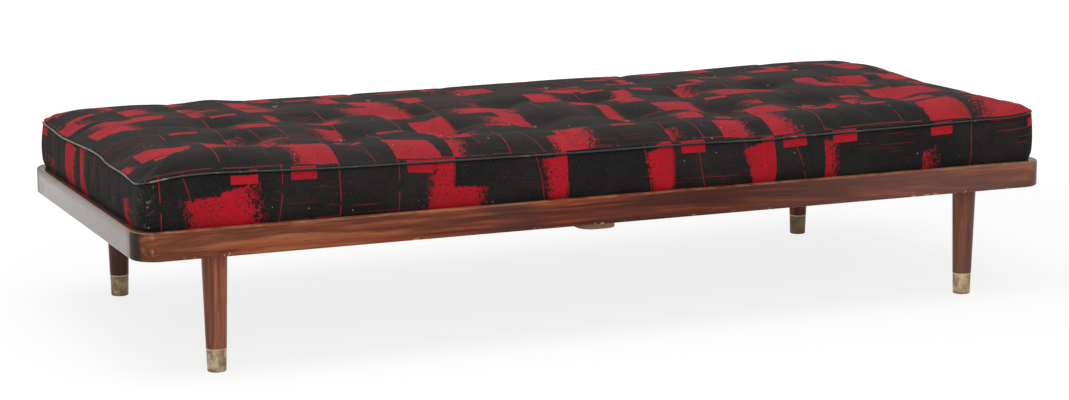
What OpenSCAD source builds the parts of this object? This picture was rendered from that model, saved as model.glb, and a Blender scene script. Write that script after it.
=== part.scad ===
// Backless divan: a shallow wooden tray frame with rounded corners on four
// tapered legs with brass ferrules, and a loose tufted mattress.
// Millimetres, +Z up, origin on the floor under the middle of the divan.
// +X runs along the length, and the front is -Y.

/* [Frame] */
// Length of the frame over its rails
frame_l = 2000; // [1850:10:2150]
// Width of the frame over its rails
frame_w = 850; // [780:10:920]
// Height of the rails' underside above the floor
floor_gap = 233; // [180:1:320]
// Height of the rails
rail_h = 55; // [52:1:70]
// Thickness of the rails
rail_t = 20; // [18:1:26]
// Outer radius of the frame's corners, seen from above
corner_r = 50; // [44:1:60]
// Rounding of the rails' two top edges
top_round = 5; // [2:0.5:7]
// Rounding of the rails' lower outer edge
bottom_round = 3.5; // [1:0.5:6]
// Thickness of the tongues that join corner blocks to rails
tongue_t = 7; // [5:0.5:8]
// Length of each tongue
tongue_l = 12; // [8:1:18]
// Distance from a tongue to the rail's top and to its underside
tongue_shoulder = 8; // [5:1:12]

/* [Legs] */
// Distance from the frame's end to a leg's centre
leg_end_inset = 166; // [150:1:200]
// Distance from the frame's side to a leg's centre
leg_side_inset = 63; // [58:1:80]
// Diameter of a leg at its top
leg_top_d = 50.5; // [46:0.5:55]
// Diameter of a leg's wood where the ferrule starts
leg_foot_d = 40; // [39.6:0.1:43]
// Height of a ferrule
ferrule_h = 45.5; // [34:0.5:58]
// Outer diameter of a ferrule at its top
ferrule_top_d = 39.2; // [37:0.1:39.4]
// Outer diameter of a ferrule at the floor
ferrule_foot_d = 36.6; // [34:0.1:37]
// Thickness of a ferrule's wall
ferrule_wall = 0.8; // [0.6:0.1:1.5]
// Thickness of a ferrule's closed end
ferrule_floor = 1.5; // [1:0.1:3]
// Bevel round a ferrule's closed end
ferrule_bevel = 1.2; // [0.5:0.1:2]

/* [Leg fixing] */
// Width of the cross boards that carry the legs
board_w = 95; // [85:1:110]
// Thickness of the cross boards
board_t = 24; // [22:1:25]
// Rounding of the boards' two lower edges
board_round = 3; // [1:0.5:5]
// Width of the stub tenons on a board's ends
tenon_w = 70; // [50:1:75]
// Thickness of the stub tenons
tenon_t = 12; // [8:1:14]
// Length of the stub tenons
tenon_l = 10; // [6:1:12]
// Diameter of the bolt in each leg's top
bolt_d = 10; // [8:0.5:10]
// Length of the bolt inside the leg
bolt_in_leg = 32; // [25:1:45]
// Length of the bolt above the leg
bolt_above = 20; // [18:1:21]
// Bevel on the bolt's two ends
bolt_bevel = 1; // [0.5:0.1:1.5]
// Diameter of the threaded insert's barrel
insert_d = 14; // [13:0.5:16]
// Length of the insert with its flange
insert_l = 20; // [18:1:21]
// Diameter of the insert's flange
insert_flange_d = 22; // [20:0.5:26]
// Thickness of the insert's flange
insert_flange_t = 1.5; // [1:0.1:2]

/* [Slats] */
// Depth of the tray, from the rails' top to the slats
tray_depth = 26; // [24:1:28]
// Width of a slat
slat_w = 60; // [50:1:64]
// Thickness of a slat
slat_t = 12; // [11:0.5:13]
// Rounding of a slat's two top edges
slat_round = 2; // [1:0.5:4]
// Slats between the two cross boards
slat_count = 11; // [9:1:12]
// Gap between the end of a slat or brace and the rail
slat_end_gap = 2; // [1:0.5:4]
// Width of the ledgers that hold the slats
ledger_w = 18; // [16:1:24]
// Height of the ledgers
ledger_h = 14; // [13:0.5:16]
// Bevel along the ledgers' lower inner edge
ledger_bevel = 3; // [1:0.5:4]

/* [Middle brace] */
// Place of the brace along the length
brace_x = -45; // [-52:1:-40]
// Width of the brace
brace_w = 80; // [70:1:90]
// Thickness of the brace
brace_t = 17; // [15:1:18]
// Radius of the brace's corners, seen from above
brace_corner_r = 30; // [10:1:34]
// Distance between the two screws in each end of the brace
brace_screw_pitch = 30; // [24:1:34]

/* [Screws] */
// Shank diameter of the wood screws
screw_d = 3.5; // [3:0.1:4]
// Diameter of a screw's countersunk head
screw_head_d = 7; // [6:0.1:8]
// Length of a screw's point
screw_tip = 4; // [2:0.5:6]
// Length of a slat screw
slat_screw_l = 22; // [20:1:23]
// Length of a ledger screw
ledger_screw_l = 28; // [26:1:30]
// Length of a brace screw
brace_screw_l = 27; // [25:1:28]
// Distance from an end ledger's outer screw to the groove in the rail's end
end_screw_margin = 6; // [4:1:8]

/* [Mattress] */
// Gap between the mattress and the rails at the tray's floor
mattress_gap = 2; // [1:0.5:4]
// Height from the tray's floor to the middle of the top welt
side_h = 118; // [100:1:150]
// How far the sides lean out over the rails at the top
side_lean = 5; // [2:0.5:7]
// How far the sides swell out between the welts, beyond that lean
side_swell = 5; // [2:0.5:8]
// Thickness of the cloth band and of the bottom panel
cloth_t = 3; // [2:0.5:4]
// Diameter of the welts
welt_d = 5; // [4:0.5:6]
// Width of the rolled edge of the top
roll_w = 90; // [70:1:110]
// Height of the rolled edge
roll_h = 28; // [15:1:40]
// Further rise of the top towards its middle
crown_h = 16; // [5:1:30]

/* [Tufts] */
// Distance between neighbouring tufts
tuft_pitch = 210; // [196:2:224]
// Depth of the dip round a tuft
tuft_dip = 12; // [6:1:18]
// Reach of the dip round a tuft
tuft_reach = 45; // [35:1:60]
// Diameter of a tuft's thread knot
knot_d = 6; // [4:0.5:9]

/* [Hidden] */
$fn = 48;
// Play in glued joints, round screws, round bolts and at the ledgers' ends
joint_gap = 0.2;
screw_gap = 0.1;
bolt_gap = 0.05;
ledger_gap = 0.5;
// Space between a soft piece and its neighbours
soft_gap = 0.3;
// Overrun of cuts and of pieces that are fused
over = 1;
// Straight steps that follow the swell of the mattress's sides
side_steps = 8;
// Rows of the top's rolled edge, as shares of its width
roll_shares = [0.68, 0.36, 0.14, 0];

// Heights in the frame
rail_top = floor_gap + rail_h;
deck_z = rail_top - tray_depth;
ledger_top = deck_z - slat_t;
ledger_z = ledger_top - ledger_h;
board_z = deck_z - board_t;
brace_z = ledger_z - brace_t;

// Places in the frame
inner_l = frame_l / 2 - rail_t;
inner_w = frame_w / 2 - rail_t;
leg_x = frame_l / 2 - leg_end_inset;
leg_y = frame_w / 2 - leg_side_inset;
straight_l = frame_l - 2 * corner_r;
straight_w = frame_w - 2 * corner_r;
tongue_h = rail_h - 2 * tongue_shoulder;

// Slats: an even row between the cross boards, and one beyond each board
bay_l = 2 * leg_x - board_w;
slat_pitch = (bay_l + slat_w) / (slat_count + 1);
slat_l = 2 * (inner_w - slat_end_gap);
ledger_y = inner_w - ledger_w / 2;
mid_ledger_l = bay_l - 2 * ledger_gap;
end_ledger_l = straight_l / 2 - leg_x - board_w / 2 - 2 * ledger_gap;
end_slat_x = leg_x + board_w / 2 + ledger_gap + end_ledger_l / 2;

// Ledger screws: in every third space between slats, and two in each end ledger
mid_screw_xs = [for (i = [1 : 3 : slat_count - 1]) slat_x(i) + slat_pitch / 2];
end_screw_reach = straight_l / 2 - tongue_l - end_screw_margin - end_slat_x;
end_screw_xs = [for (side = [-1, 1], hand = [-1, 1]) side * end_slat_x + hand * end_screw_reach];

// Mattress: its outline at the tray's floor, as half length, half width and radius
pad_l = inner_l - mattress_gap;
pad_w = inner_w - mattress_gap;
pad_r = corner_r - rail_t - mattress_gap;
pad_z = deck_z + soft_gap;

// Middles of the welts: height, and distance out from that outline
low_welt_z = pad_z + welt_d / 2;
low_welt_out = -welt_d / 2;
high_welt_z = deck_z + side_h;
high_welt_out = side_lean + (welt_d - cloth_t) / 2;

// Side band, from one welt to the other, and the height at which it starts to lean
band_z0 = low_welt_z + welt_d / 2 + soft_gap;
band_z1 = high_welt_z - welt_d / 2 - soft_gap;
lean_z = rail_top - top_round;
side_zs = concat(
    [band_z0],
    [for (i = [0 : side_steps]) lean_z + (band_z1 - lean_z) * i / side_steps]
);

// Bottom panel and filling
panel_out = low_welt_out - welt_d / 2 - soft_gap;
core_z = pad_z + cloth_t + soft_gap;

// Top panel: its outline, the height of its edge and the grid of its surface
top_out = high_welt_out - welt_d / 2 - soft_gap;
top_l = pad_l + top_out;
top_w = pad_w + top_out;
top_r = pad_r + top_out;
top_edge_z = high_welt_z + welt_d / 4;
grid_step = tuft_pitch / 4;
// As many tufts as fit between the rolled edges
tuft_cols = floor(2 * (top_l - roll_w) / tuft_pitch);
tuft_rows = floor(2 * (top_w - roll_w) / tuft_pitch);
grid_xs = grid_places(top_l);
grid_ys = grid_places(top_w);

function slat_name(i) = str("slat_", i < 10 ? "0" : "", i);
function slat_x(i) = (i - (slat_count + 1) / 2) * slat_pitch;

// Rails and corner blocks

// Section of the rails: the inner face at x = 0, the outer face at x = rail_t
module rail_section() {
    square([rail_t - bottom_round, rail_h - top_round]);
    translate([0, bottom_round]) square([rail_t, rail_h - top_round - bottom_round]);
    translate([top_round, rail_h / 2]) square([rail_t - 2 * top_round, rail_h / 2]);
    translate([rail_t - bottom_round, bottom_round]) circle(r = bottom_round);
    for (x = [top_round, rail_t - top_round])
        translate([x, rail_h - top_round]) circle(r = top_round);
}

// A section's run along X, with the section's x towards +Y and its y towards +Z
module run(l) {
    rotate([90, 0, 90]) linear_extrude(l, center = true) children();
}

// Tongue in a rail's thickness, from x0 to x1
module tongue(x0, x1, gap = 0) {
    translate([x0, (rail_t - tongue_t) / 2 - gap, tongue_shoulder - gap])
        cube([x1 - x0, tongue_t + 2 * gap, tongue_h + 2 * gap]);
}

// Straight rail along X with a groove in each end
module grooved_rail(l) {
    difference() {
        run(l) rail_section();
        for (side = [0, 1]) mirror([side, 0, 0])
            tongue(l / 2 - tongue_l - joint_gap, l / 2 + over, joint_gap);
    }
}

// Long rail in its place at the back, with mortises and screw holes
module long_rail() {
    color([0.40, 0.19, 0.10]) difference() {
        translate([0, inner_w, floor_gap]) grooved_rail(straight_l);
        for (side = [-1, 1]) translate([side * leg_x, 0, 0]) tenons(joint_gap);
        ledger_screw_places(concat(mid_screw_xs, end_screw_xs)) screw_space(ledger_screw_l);
    }
}

module back_rail() { long_rail(); }
module front_rail() { mirror([0, 1, 0]) long_rail(); }

module right_end_rail() {
    color([0.42, 0.20, 0.11])
        rotate([0, 0, -90]) translate([0, inner_l, floor_gap]) grooved_rail(straight_w);
}

module left_end_rail() { mirror([1, 0, 0]) right_end_rail(); }

// Quarter-round block with a tongue for each of the two rails that it joins
module corner_block(side_x, side_y) {
    color([0.36, 0.17, 0.09])
    mirror([side_x < 0 ? 1 : 0, 0, 0]) mirror([0, side_y < 0 ? 1 : 0, 0])
    translate([straight_l / 2, straight_w / 2, floor_gap]) {
        rotate_extrude(angle = 90) translate([corner_r - rail_t, 0]) rail_section();
        for (swap = [0, 1]) mirror([swap, -swap, 0])
            translate([0, corner_r - rail_t, 0]) tongue(-tongue_l, over);
    }
}

module corner_front_left() { corner_block(-1, -1); }
module corner_front_right() { corner_block(1, -1); }
module corner_back_left() { corner_block(-1, 1); }
module corner_back_right() { corner_block(1, 1); }

// Cross boards, brace, ledgers and slats

// Section with two rounded top corners, centred on x = 0
module eased_section(w, h, r) {
    translate([-w / 2, 0]) square([w, h - r]);
    translate([r - w / 2, h / 2]) square([w - 2 * r, h / 2]);
    for (side = [-1, 1]) translate([side * (w / 2 - r), h - r]) circle(r = r);
}

// Rectangle with round corners, centred, from its half sizes
module round_plan(half_x, half_y, r) {
    square([2 * half_x, 2 * (half_y - r)], center = true);
    square([2 * (half_x - r), 2 * half_y], center = true);
    for (side_x = [-1, 1], side_y = [-1, 1])
        translate([side_x * (half_x - r), side_y * (half_y - r)]) circle(r = r);
}

// The two stub tenons of a cross board, drawn as one bar through the board
module tenons(gap = 0) {
    translate([-tenon_w / 2 - gap, -inner_w - tenon_l - gap, board_z + (board_t - tenon_t) / 2 - gap])
        cube([tenon_w, 2 * (inner_w + tenon_l), tenon_t] + 2 * gap * [1, 1, 1]);
}

// Cross board with a stepped bore for the threaded insert above each leg
module leg_board(side) {
    color([0.62, 0.44, 0.27]) translate([side * leg_x, 0, 0]) difference() {
        union() {
            translate([0, 0, deck_z]) mirror([0, 0, 1]) rotate([90, 0, 0])
                linear_extrude(2 * inner_w, center = true)
                    eased_section(board_w, board_t, board_round);
            tenons();
        }
        for (hand = [-1, 1]) translate([0, hand * leg_y, deck_z]) insert_space();
    }
}

module left_leg_board() { leg_board(-1); }
module right_leg_board() { leg_board(1); }

module middle_brace() {
    color([0.66, 0.47, 0.29]) difference() {
        translate([brace_x, 0, brace_z]) linear_extrude(brace_t)
            round_plan(brace_w / 2, slat_l / 2, brace_corner_r);
        brace_screw_places() screw_space(brace_screw_l);
    }
}

// Ledger at the back, centred on x, with the holes of every screw that meets it
module ledger(x, l, slat_xs, screw_xs) {
    color([0.64, 0.46, 0.28]) difference() {
        translate([x, inner_w - ledger_w, ledger_z]) run(l) polygon([
            [ledger_bevel, 0], [ledger_w, 0], [ledger_w, ledger_h], [0, ledger_h], [0, ledger_bevel]
        ]);
        ledger_screw_places(screw_xs) screw_space(ledger_screw_l);
        for (slat_x = slat_xs) translate([slat_x, ledger_y, deck_z]) screw_space(slat_screw_l);
        brace_screw_places() screw_space(brace_screw_l);
    }
}

module mid_ledger() {
    ledger(0, mid_ledger_l, [for (i = [1 : slat_count]) slat_x(i)], mid_screw_xs);
}

module end_ledger() {
    ledger(end_slat_x, end_ledger_l, [end_slat_x], end_screw_xs);
}

module back_mid_ledger() { mid_ledger(); }
module back_right_ledger() { end_ledger(); }
module back_left_ledger() { mirror([1, 0, 0]) end_ledger(); }
module front_mid_ledger() { mirror([0, 1, 0]) mid_ledger(); }
module front_right_ledger() { mirror([0, 1, 0]) end_ledger(); }
module front_left_ledger() { mirror([0, 1, 0]) back_left_ledger(); }

// Slat with a countersunk hole over each ledger
module slat(x) {
    color([0.74, 0.57, 0.37]) translate([x, 0, ledger_top]) difference() {
        rotate([90, 0, 0]) linear_extrude(slat_l, center = true)
            eased_section(slat_w, slat_t, slat_round);
        for (side = [-1, 1])
            translate([0, side * ledger_y, slat_t]) screw_space(slat_screw_l);
    }
}

module left_end_slat() { slat(-end_slat_x); }
module right_end_slat() { slat(end_slat_x); }

// Legs, ferrules and what fastens them

// Turned leg: a long taper over a spigot that fills the ferrule, bored for its bolt
module leg(side_x, side_y) {
    spigot_z = ferrule_floor + joint_gap;
    thinner = ferrule_wall + joint_gap;
    bore_r = bolt_d / 2 + bolt_gap;
    bore_z = board_z - bolt_in_leg - bolt_gap;
    color([0.43, 0.20, 0.10]) translate([side_x * leg_x, side_y * leg_y, 0])
        rotate_extrude() polygon([
            [0, spigot_z], [ferrule_foot_d / 2 - thinner, spigot_z],
            [ferrule_top_d / 2 - thinner, ferrule_h], [leg_foot_d / 2, ferrule_h],
            [leg_top_d / 2, board_z], [bore_r, board_z], [bore_r, bore_z], [0, bore_z]
        ]);
}

module leg_front_left() { leg(-1, -1); }
module leg_front_right() { leg(1, -1); }
module leg_back_left() { leg(-1, 1); }
module leg_back_right() { leg(1, 1); }

// Spun brass cup with a bevelled closed end
module ferrule(side_x, side_y) {
    foot_r = ferrule_foot_d / 2;
    top_r = ferrule_top_d / 2;
    color([0.55, 0.44, 0.27]) translate([side_x * leg_x, side_y * leg_y, 0])
        rotate_extrude() polygon([
            [0, 0], [foot_r - ferrule_bevel, 0], [foot_r, ferrule_bevel], [top_r, ferrule_h],
            [top_r - ferrule_wall, ferrule_h], [foot_r - ferrule_wall, ferrule_floor], [0, ferrule_floor]
        ]);
}

module ferrule_front_left() { ferrule(-1, -1); }
module ferrule_front_right() { ferrule(1, -1); }
module ferrule_back_left() { ferrule(-1, 1); }
module ferrule_back_right() { ferrule(1, 1); }

module leg_places() {
    for (side_x = [-1, 1], side_y = [-1, 1])
        translate([side_x * leg_x, side_y * leg_y, 0]) children();
}

// Bolts set in the legs' tops
module leg_bolts() {
    r = bolt_d / 2;
    color([0.62, 0.62, 0.64]) leg_places() translate([0, 0, board_z])
        rotate_extrude() polygon([
            [0, -bolt_in_leg], [r - bolt_bevel, -bolt_in_leg], [r, bolt_bevel - bolt_in_leg],
            [r, bolt_above - bolt_bevel], [r - bolt_bevel, bolt_above], [0, bolt_above]
        ]);
}

// Flanged inserts, flush with the boards' tops
module leg_inserts() {
    bore_r = bolt_d / 2 + bolt_gap;
    color([0.70, 0.66, 0.52]) leg_places() translate([0, 0, deck_z])
        rotate_extrude() polygon([
            [bore_r, -insert_l], [insert_d / 2, -insert_l], [insert_d / 2, -insert_flange_t],
            [insert_flange_d / 2, -insert_flange_t], [insert_flange_d / 2, 0], [bore_r, 0]
        ]);
}

// Stepped bore in a board: flange, barrel, and a hole for the bolt below it
module insert_space() {
    flange_r = insert_flange_d / 2 + bolt_gap;
    barrel_r = insert_d / 2 + bolt_gap;
    hole_r = bolt_d / 2 + joint_gap;
    rotate_extrude() polygon([
        [0, over], [flange_r, over], [flange_r, -insert_flange_t], [barrel_r, -insert_flange_t],
        [barrel_r, -insert_l], [hole_r, -insert_l], [hole_r, -board_t - over], [0, -board_t - over]
    ]);
}

// Wood screws

// Countersunk screw from z = 0 down
module screw(l) {
    head_r = screw_head_d / 2;
    shank_r = screw_d / 2;
    rotate_extrude() polygon([
        [0, 0], [head_r, 0], [shank_r, shank_r - head_r], [shank_r, screw_tip - l], [0, -l]
    ]);
}

// The hole of such a screw, open above its head
module screw_space(l) {
    head_r = screw_head_d / 2 + screw_gap;
    shank_r = screw_d / 2 + screw_gap;
    end_z = -l - screw_gap;
    rotate_extrude() polygon([
        [0, over], [head_r, over], [head_r, 0], [shank_r, shank_r - head_r], [shank_r, end_z], [0, end_z]
    ]);
}

// Places of the ledger screws at the back, heads inwards
module ledger_screw_places(xs) {
    for (x = xs) translate([x, inner_w - ledger_w, ledger_z + ledger_h / 2])
        rotate([90, 0, 0]) children();
}

// Places of the brace screws, heads down
module brace_screw_places() {
    for (hand = [-1, 1], side = [-1, 1])
        translate([brace_x + hand * brace_screw_pitch / 2, side * ledger_y, brace_z])
            rotate([180, 0, 0]) children();
}

module slat_screws() {
    xs = concat([for (i = [1 : slat_count]) slat_x(i)], [-end_slat_x, end_slat_x]);
    color([0.72, 0.68, 0.55])
        for (x = xs, side = [-1, 1]) translate([x, side * ledger_y, deck_z]) screw(slat_screw_l);
}

module ledger_screws() {
    color([0.72, 0.68, 0.55]) for (side = [0, 1]) mirror([0, side, 0])
        ledger_screw_places(concat(mid_screw_xs, end_screw_xs)) screw(ledger_screw_l);
}

module brace_screws() {
    color([0.72, 0.68, 0.55]) brace_screw_places() screw(brace_screw_l);
}

// Mattress

// Distance that the sides stand out from the outline at the tray's floor
function side_out(z) =
    let (share = max(0, z - lean_z) / (band_z1 - lean_z))
    side_lean * share + side_swell * sin(180 * share);

// A section swept round the mattress: x is the distance out from its outline, y the height
module round_the_mattress() {
    for (turn = [0 : 3]) rotate([0, 0, 90 * turn]) {
        away = turn % 2 == 0 ? pad_w : pad_l;
        along = turn % 2 == 0 ? pad_l : pad_w;
        translate([0, away, 0]) run(2 * (along - pad_r)) children();
        translate([along - pad_r, away - pad_r, 0])
            rotate_extrude(angle = 90) translate([pad_r, 0]) children();
    }
}

module top_welt() {
    color([0.20, 0.21, 0.21]) round_the_mattress()
        translate([high_welt_out, high_welt_z]) circle(d = welt_d);
}

module bottom_welt() {
    color([0.20, 0.21, 0.21]) round_the_mattress()
        translate([low_welt_out, low_welt_z]) circle(d = welt_d);
}

module mattress_border() {
    outer = [for (z = side_zs) [side_out(z), z]];
    inner = [for (i = [len(side_zs) - 1 : -1 : 0]) outer[i] - [cloth_t, 0]];
    color([0.13, 0.12, 0.12]) round_the_mattress() polygon(concat(outer, inner));
}

module mattress_bottom() {
    color([0.30, 0.28, 0.26]) translate([0, 0, pad_z]) linear_extrude(cloth_t)
        round_plan(pad_l + panel_out, pad_w + panel_out, pad_r + panel_out);
}

// Filling: it follows the inside of the band, and tapers in over the bottom welt
module mattress_core() {
    outer = [for (z = side_zs) [side_out(z) - cloth_t - soft_gap, z]];
    color([0.80, 0.76, 0.66]) {
        round_the_mattress()
            polygon(concat([[over - pad_r, core_z], [panel_out - soft_gap, core_z]], outer,
                [[over - pad_r, band_z1]]));
        translate([0, 0, core_z]) linear_extrude(band_z1 - core_z)
            square(2 * [pad_l - pad_r + 2 * over, pad_w - pad_r + 2 * over], center = true);
    }
}

// Places of the rows of the top's grid across a half size: fine in the rolled edge,
// and a quarter of the tufts' distance apart over the rest, so that each tuft has a point
function grid_places(half) =
    let (steps = floor((half - roll_w) / grid_step), last = len(roll_shares) - 1)
    concat(
        [for (i = [last : -1 : 0]) roll_w * roll_shares[i] - half],
        [for (i = [-steps : steps]) i * grid_step],
        [for (share = roll_shares) half - roll_w * share]
    );

// Rise of the rolled edge, from 0 at the edge to 1 where the roll ends
function roll_share(d) = sqrt(1 - pow(1 - min(1, d / roll_w), 2));

// The tuft nearest to a place, along one side of the grid of tufts
function near_tuft(place, count) =
    let (last = (count - 1) / 2)
    tuft_pitch * (min(2 * last, max(0, round(place / tuft_pitch + last))) - last);

// Height of the top at a place: rolled edge, crown and the nearest tuft's dip
function top_height(x, y) =
    let (
        off_x = x - near_tuft(x, tuft_cols),
        off_y = y - near_tuft(y, tuft_rows),
        roll = roll_share(top_l - abs(x)) * roll_share(top_w - abs(y)),
        crown = (1 - pow(x / top_l, 2)) * (1 - pow(y / top_w, 2)),
        dip = exp(-(off_x * off_x + off_y * off_y) / (tuft_reach * tuft_reach))
    )
    top_edge_z + roll_h * roll + crown_h * crown - tuft_dip * dip;

// Half length of the top at a row, shorter where the row crosses the round corners
function row_half(y) =
    let (past = max(0, abs(y) - (top_w - top_r)))
    top_l - top_r + sqrt(top_r * top_r - past * past);

// Crowned and tufted top panel, flat underneath
module mattress_top() {
    nx = len(grid_xs);
    ny = len(grid_ys);
    surface = [for (y = grid_ys, x = grid_xs) [x * row_half(y) / top_l, y, top_height(x, y)]];
    edge = concat(
        [for (i = [0 : nx - 1]) i],
        [for (j = [1 : ny - 1]) j * nx + nx - 1],
        [for (i = [nx - 2 : -1 : 0]) (ny - 1) * nx + i],
        [for (j = [ny - 2 : -1 : 1]) j * nx]
    );
    n = len(edge);
    under = concat([for (k = edge) [surface[k][0], surface[k][1], band_z1]], [[0, 0, band_z1]]);
    cells = [for (j = [0 : ny - 2], i = [0 : nx - 2]) j * nx + i];
    color([0.16, 0.13, 0.13]) polyhedron(
        points = concat(surface, under),
        faces = concat(
            [for (c = cells) [c, c + nx, c + nx + 1]],
            [for (c = cells) [c, c + nx + 1, c + 1]],
            [for (k = [0 : n - 1]) [edge[k], edge[(k + 1) % n], nx * ny + (k + 1) % n]],
            [for (k = [0 : n - 1]) [edge[k], nx * ny + (k + 1) % n, nx * ny + k]],
            [for (k = [0 : n - 1]) [nx * ny + n, nx * ny + k, nx * ny + (k + 1) % n]]
        )
    );
}

// Thread knots, each seated in the dip of its tuft
module tuft_knots() {
    color([0.75, 0.73, 0.68])
    for (i = [0 : tuft_cols - 1], j = [0 : tuft_rows - 1]) {
        x = (i - (tuft_cols - 1) / 2) * tuft_pitch;
        y = (j - (tuft_rows - 1) / 2) * tuft_pitch;
        translate([x, y, top_height(x, y) + knot_d / 2 + soft_gap]) sphere(d = knot_d);
    }
}

front_rail();
back_rail();
left_end_rail();
right_end_rail();
corner_front_left();
corner_front_right();
corner_back_left();
corner_back_right();
left_leg_board();
right_leg_board();
middle_brace();
front_mid_ledger();
front_left_ledger();
front_right_ledger();
back_mid_ledger();
back_left_ledger();
back_right_ledger();
for (i = [1 : slat_count])
    slat(slat_x(i));
left_end_slat();
right_end_slat();
leg_front_left();
leg_front_right();
leg_back_left();
leg_back_right();
ferrule_front_left();
ferrule_front_right();
ferrule_back_left();
ferrule_back_right();
leg_bolts();
leg_inserts();
slat_screws();
ledger_screws();
brace_screws();
mattress_top();
mattress_border();
mattress_bottom();
mattress_core();
top_welt();
bottom_welt();
tuft_knots();
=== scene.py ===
"""The looks of a backless divan: a lacquered tray frame on four legs, and a tufted mattress."""

import math

import bmesh
import bpy
import numpy as np
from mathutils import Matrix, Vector


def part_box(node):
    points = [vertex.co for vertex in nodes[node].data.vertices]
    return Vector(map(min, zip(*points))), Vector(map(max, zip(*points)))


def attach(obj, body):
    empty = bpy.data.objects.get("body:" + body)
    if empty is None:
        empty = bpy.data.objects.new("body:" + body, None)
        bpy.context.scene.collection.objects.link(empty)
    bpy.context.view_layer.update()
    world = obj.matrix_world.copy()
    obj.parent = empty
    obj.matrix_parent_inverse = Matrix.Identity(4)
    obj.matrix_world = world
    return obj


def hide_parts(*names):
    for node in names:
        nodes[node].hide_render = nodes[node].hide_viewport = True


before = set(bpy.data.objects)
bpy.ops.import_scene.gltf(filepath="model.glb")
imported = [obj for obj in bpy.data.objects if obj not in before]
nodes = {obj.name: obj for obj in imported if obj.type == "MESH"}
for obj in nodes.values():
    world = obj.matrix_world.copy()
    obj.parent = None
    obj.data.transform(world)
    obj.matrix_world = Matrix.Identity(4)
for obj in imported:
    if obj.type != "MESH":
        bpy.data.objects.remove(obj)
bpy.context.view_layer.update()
scene = bpy.context.scene
scene.view_settings.view_transform = "Standard"

# Sizes are metres and angles are radians.
TURN = 2 * math.pi

# The camera stands at the front left, a little above the mattress. Its lens and sensor are millimetres.
SENSOR = 36.0
LENS = 87.48
CAMERA_PLACE = (-2.1986, -5.0257, 1.2287)
CAMERA_LOOK = (0.40233, 0.89815, -0.17734)
CAMERA_SHIFT = (-0.0272, -0.0148)

# The floor and the light of the room.
FLOOR_SIZE = 60.0
FLOOR_TONE = 0.82
FLOOR_SHADOW_SHARE = 0.16
FLOOR_GLOW = 0.813
ROOM_LIGHT = 0.62

# The mattress's outline at its rim, and the heights of its parts and the frame's.
MATTRESS_CORNER = 0.028
BAND_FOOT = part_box("mattress_border")[0].z
BAND_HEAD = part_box("mattress_border")[1].z
RIM_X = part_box("bottom_welt")[1].x
RIM_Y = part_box("bottom_welt")[1].y
TRAY_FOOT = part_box("front_rail")[0].z
TRAY_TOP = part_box("front_rail")[1].z
FERRULE_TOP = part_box("ferrule_front_left")[1].z
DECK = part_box("mattress_bottom")[0].z

# The welts: how thick the solid model's are and the piping is, and where the two seams run.
WELT_THICK = 0.005
PIPING_THICK = 0.0037
TOP_WELT_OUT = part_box("top_welt")[1].x - WELT_THICK / 2 - RIM_X
TOP_WELT_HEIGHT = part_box("top_welt")[0].z + WELT_THICK / 2
BOTTOM_WELT_OUT = -WELT_THICK / 2
BOTTOM_WELT_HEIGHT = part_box("bottom_welt")[0].z + WELT_THICK / 2
TOP_RIM_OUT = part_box("mattress_top")[1].x - RIM_X

# How far the side leans out and swells, and the height where that starts.
SIDE_LEAN = 0.005
SIDE_SWELL = 0.005
LEAN_START = 0.283

# The rolled edge of the top and its crown, and how thick the cloth of each panel is.
ROLL_WIDTH = 0.085
ROLL_HEIGHT = 0.026
CROWN = 0.015
HEM = 0.0028
BAND_THICK = 0.0024
UNDERSIDE_THICK = 0.0011

# How far the cloth may move when it is filled out: the top, the free band, and the band in the tray.
TOP_RISE = 0.0055
BAND_RISE = 0.0035
TRAY_RISE = 0.0006

# The tufts: their columns, their rows and how deep they are drawn in.
TUFT_COLUMNS = [-0.735, -0.525, -0.315, -0.105, 0.105, 0.315, 0.525, 0.735]
TUFT_ROWS = [-0.21, 0.0, 0.21]
TUFTS = [(column, row) for column in TUFT_COLUMNS for row in TUFT_ROWS]
TUFT_DIPS = [0.012, 0.011, 0.0036]
TUFT_REACH = 0.056
TUFT_HOLD = 0.009
ROW_VALLEY = 0.0036
COLUMN_VALLEY = 0.003
VALLEY_REACH = 0.034

# How high the top seam runs along each side. It dips and rises where the filling has packed down.
SEAM_FRONT = [(-0.967, 0.383), (-0.908, 0.3894), (-0.858, 0.3913), (-0.758, 0.388), (-0.61, 0.3834),
              (-0.4, 0.3812), (-0.08, 0.378), (0.158, 0.3794), (0.31, 0.376), (0.454, 0.379),
              (0.65, 0.381), (0.8, 0.3834), (0.925, 0.3845), (0.95, 0.3885), (0.975, 0.395)]
SEAM_LEFT = [(-0.38, 0.3715), (-0.277, 0.3787), (-0.162, 0.378), (-0.108, 0.386), (-0.043, 0.386),
             (0.126, 0.379), (0.215, 0.3755), (0.305, 0.38), (0.393, 0.382)]
SEAM_BACK = [(-0.95, 0.381), (-0.7, 0.3785), (-0.45, 0.3815), (-0.15, 0.379), (0.2, 0.382),
             (0.5, 0.379), (0.75, 0.3825), (0.95, 0.386)]
SEAM_RIGHT = [(-0.39, 0.395), (-0.33, 0.388), (-0.25, 0.381), (-0.08, 0.3785), (0.1, 0.3825),
              (0.27, 0.379), (0.39, 0.386)]

# How much the padding has packed down or stands up along the length.
PACKING = [(-1.0, -0.0025), (-0.8, 0.0015), (-0.62, -0.004), (-0.42, -0.0055), (0.0, -0.002),
           (0.35, -0.001), (0.7, 0.005), (0.88, 0.004), (1.0, -0.002)]

# Where the padding stands fuller or thinner: the place, the height, and the reach along and across.
PILLOWS = [(0.945, 0.215, 0.0095, 0.05, 0.115), (0.9, 0.365, -0.004, 0.045, 0.045),
           (-0.969, 0.399, 0.0068, 0.044, 0.044), (-0.632, 0.35, 0.006, 0.047, 0.08),
           (0.968, -0.38, -0.0012, 0.04, 0.04)]

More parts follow.
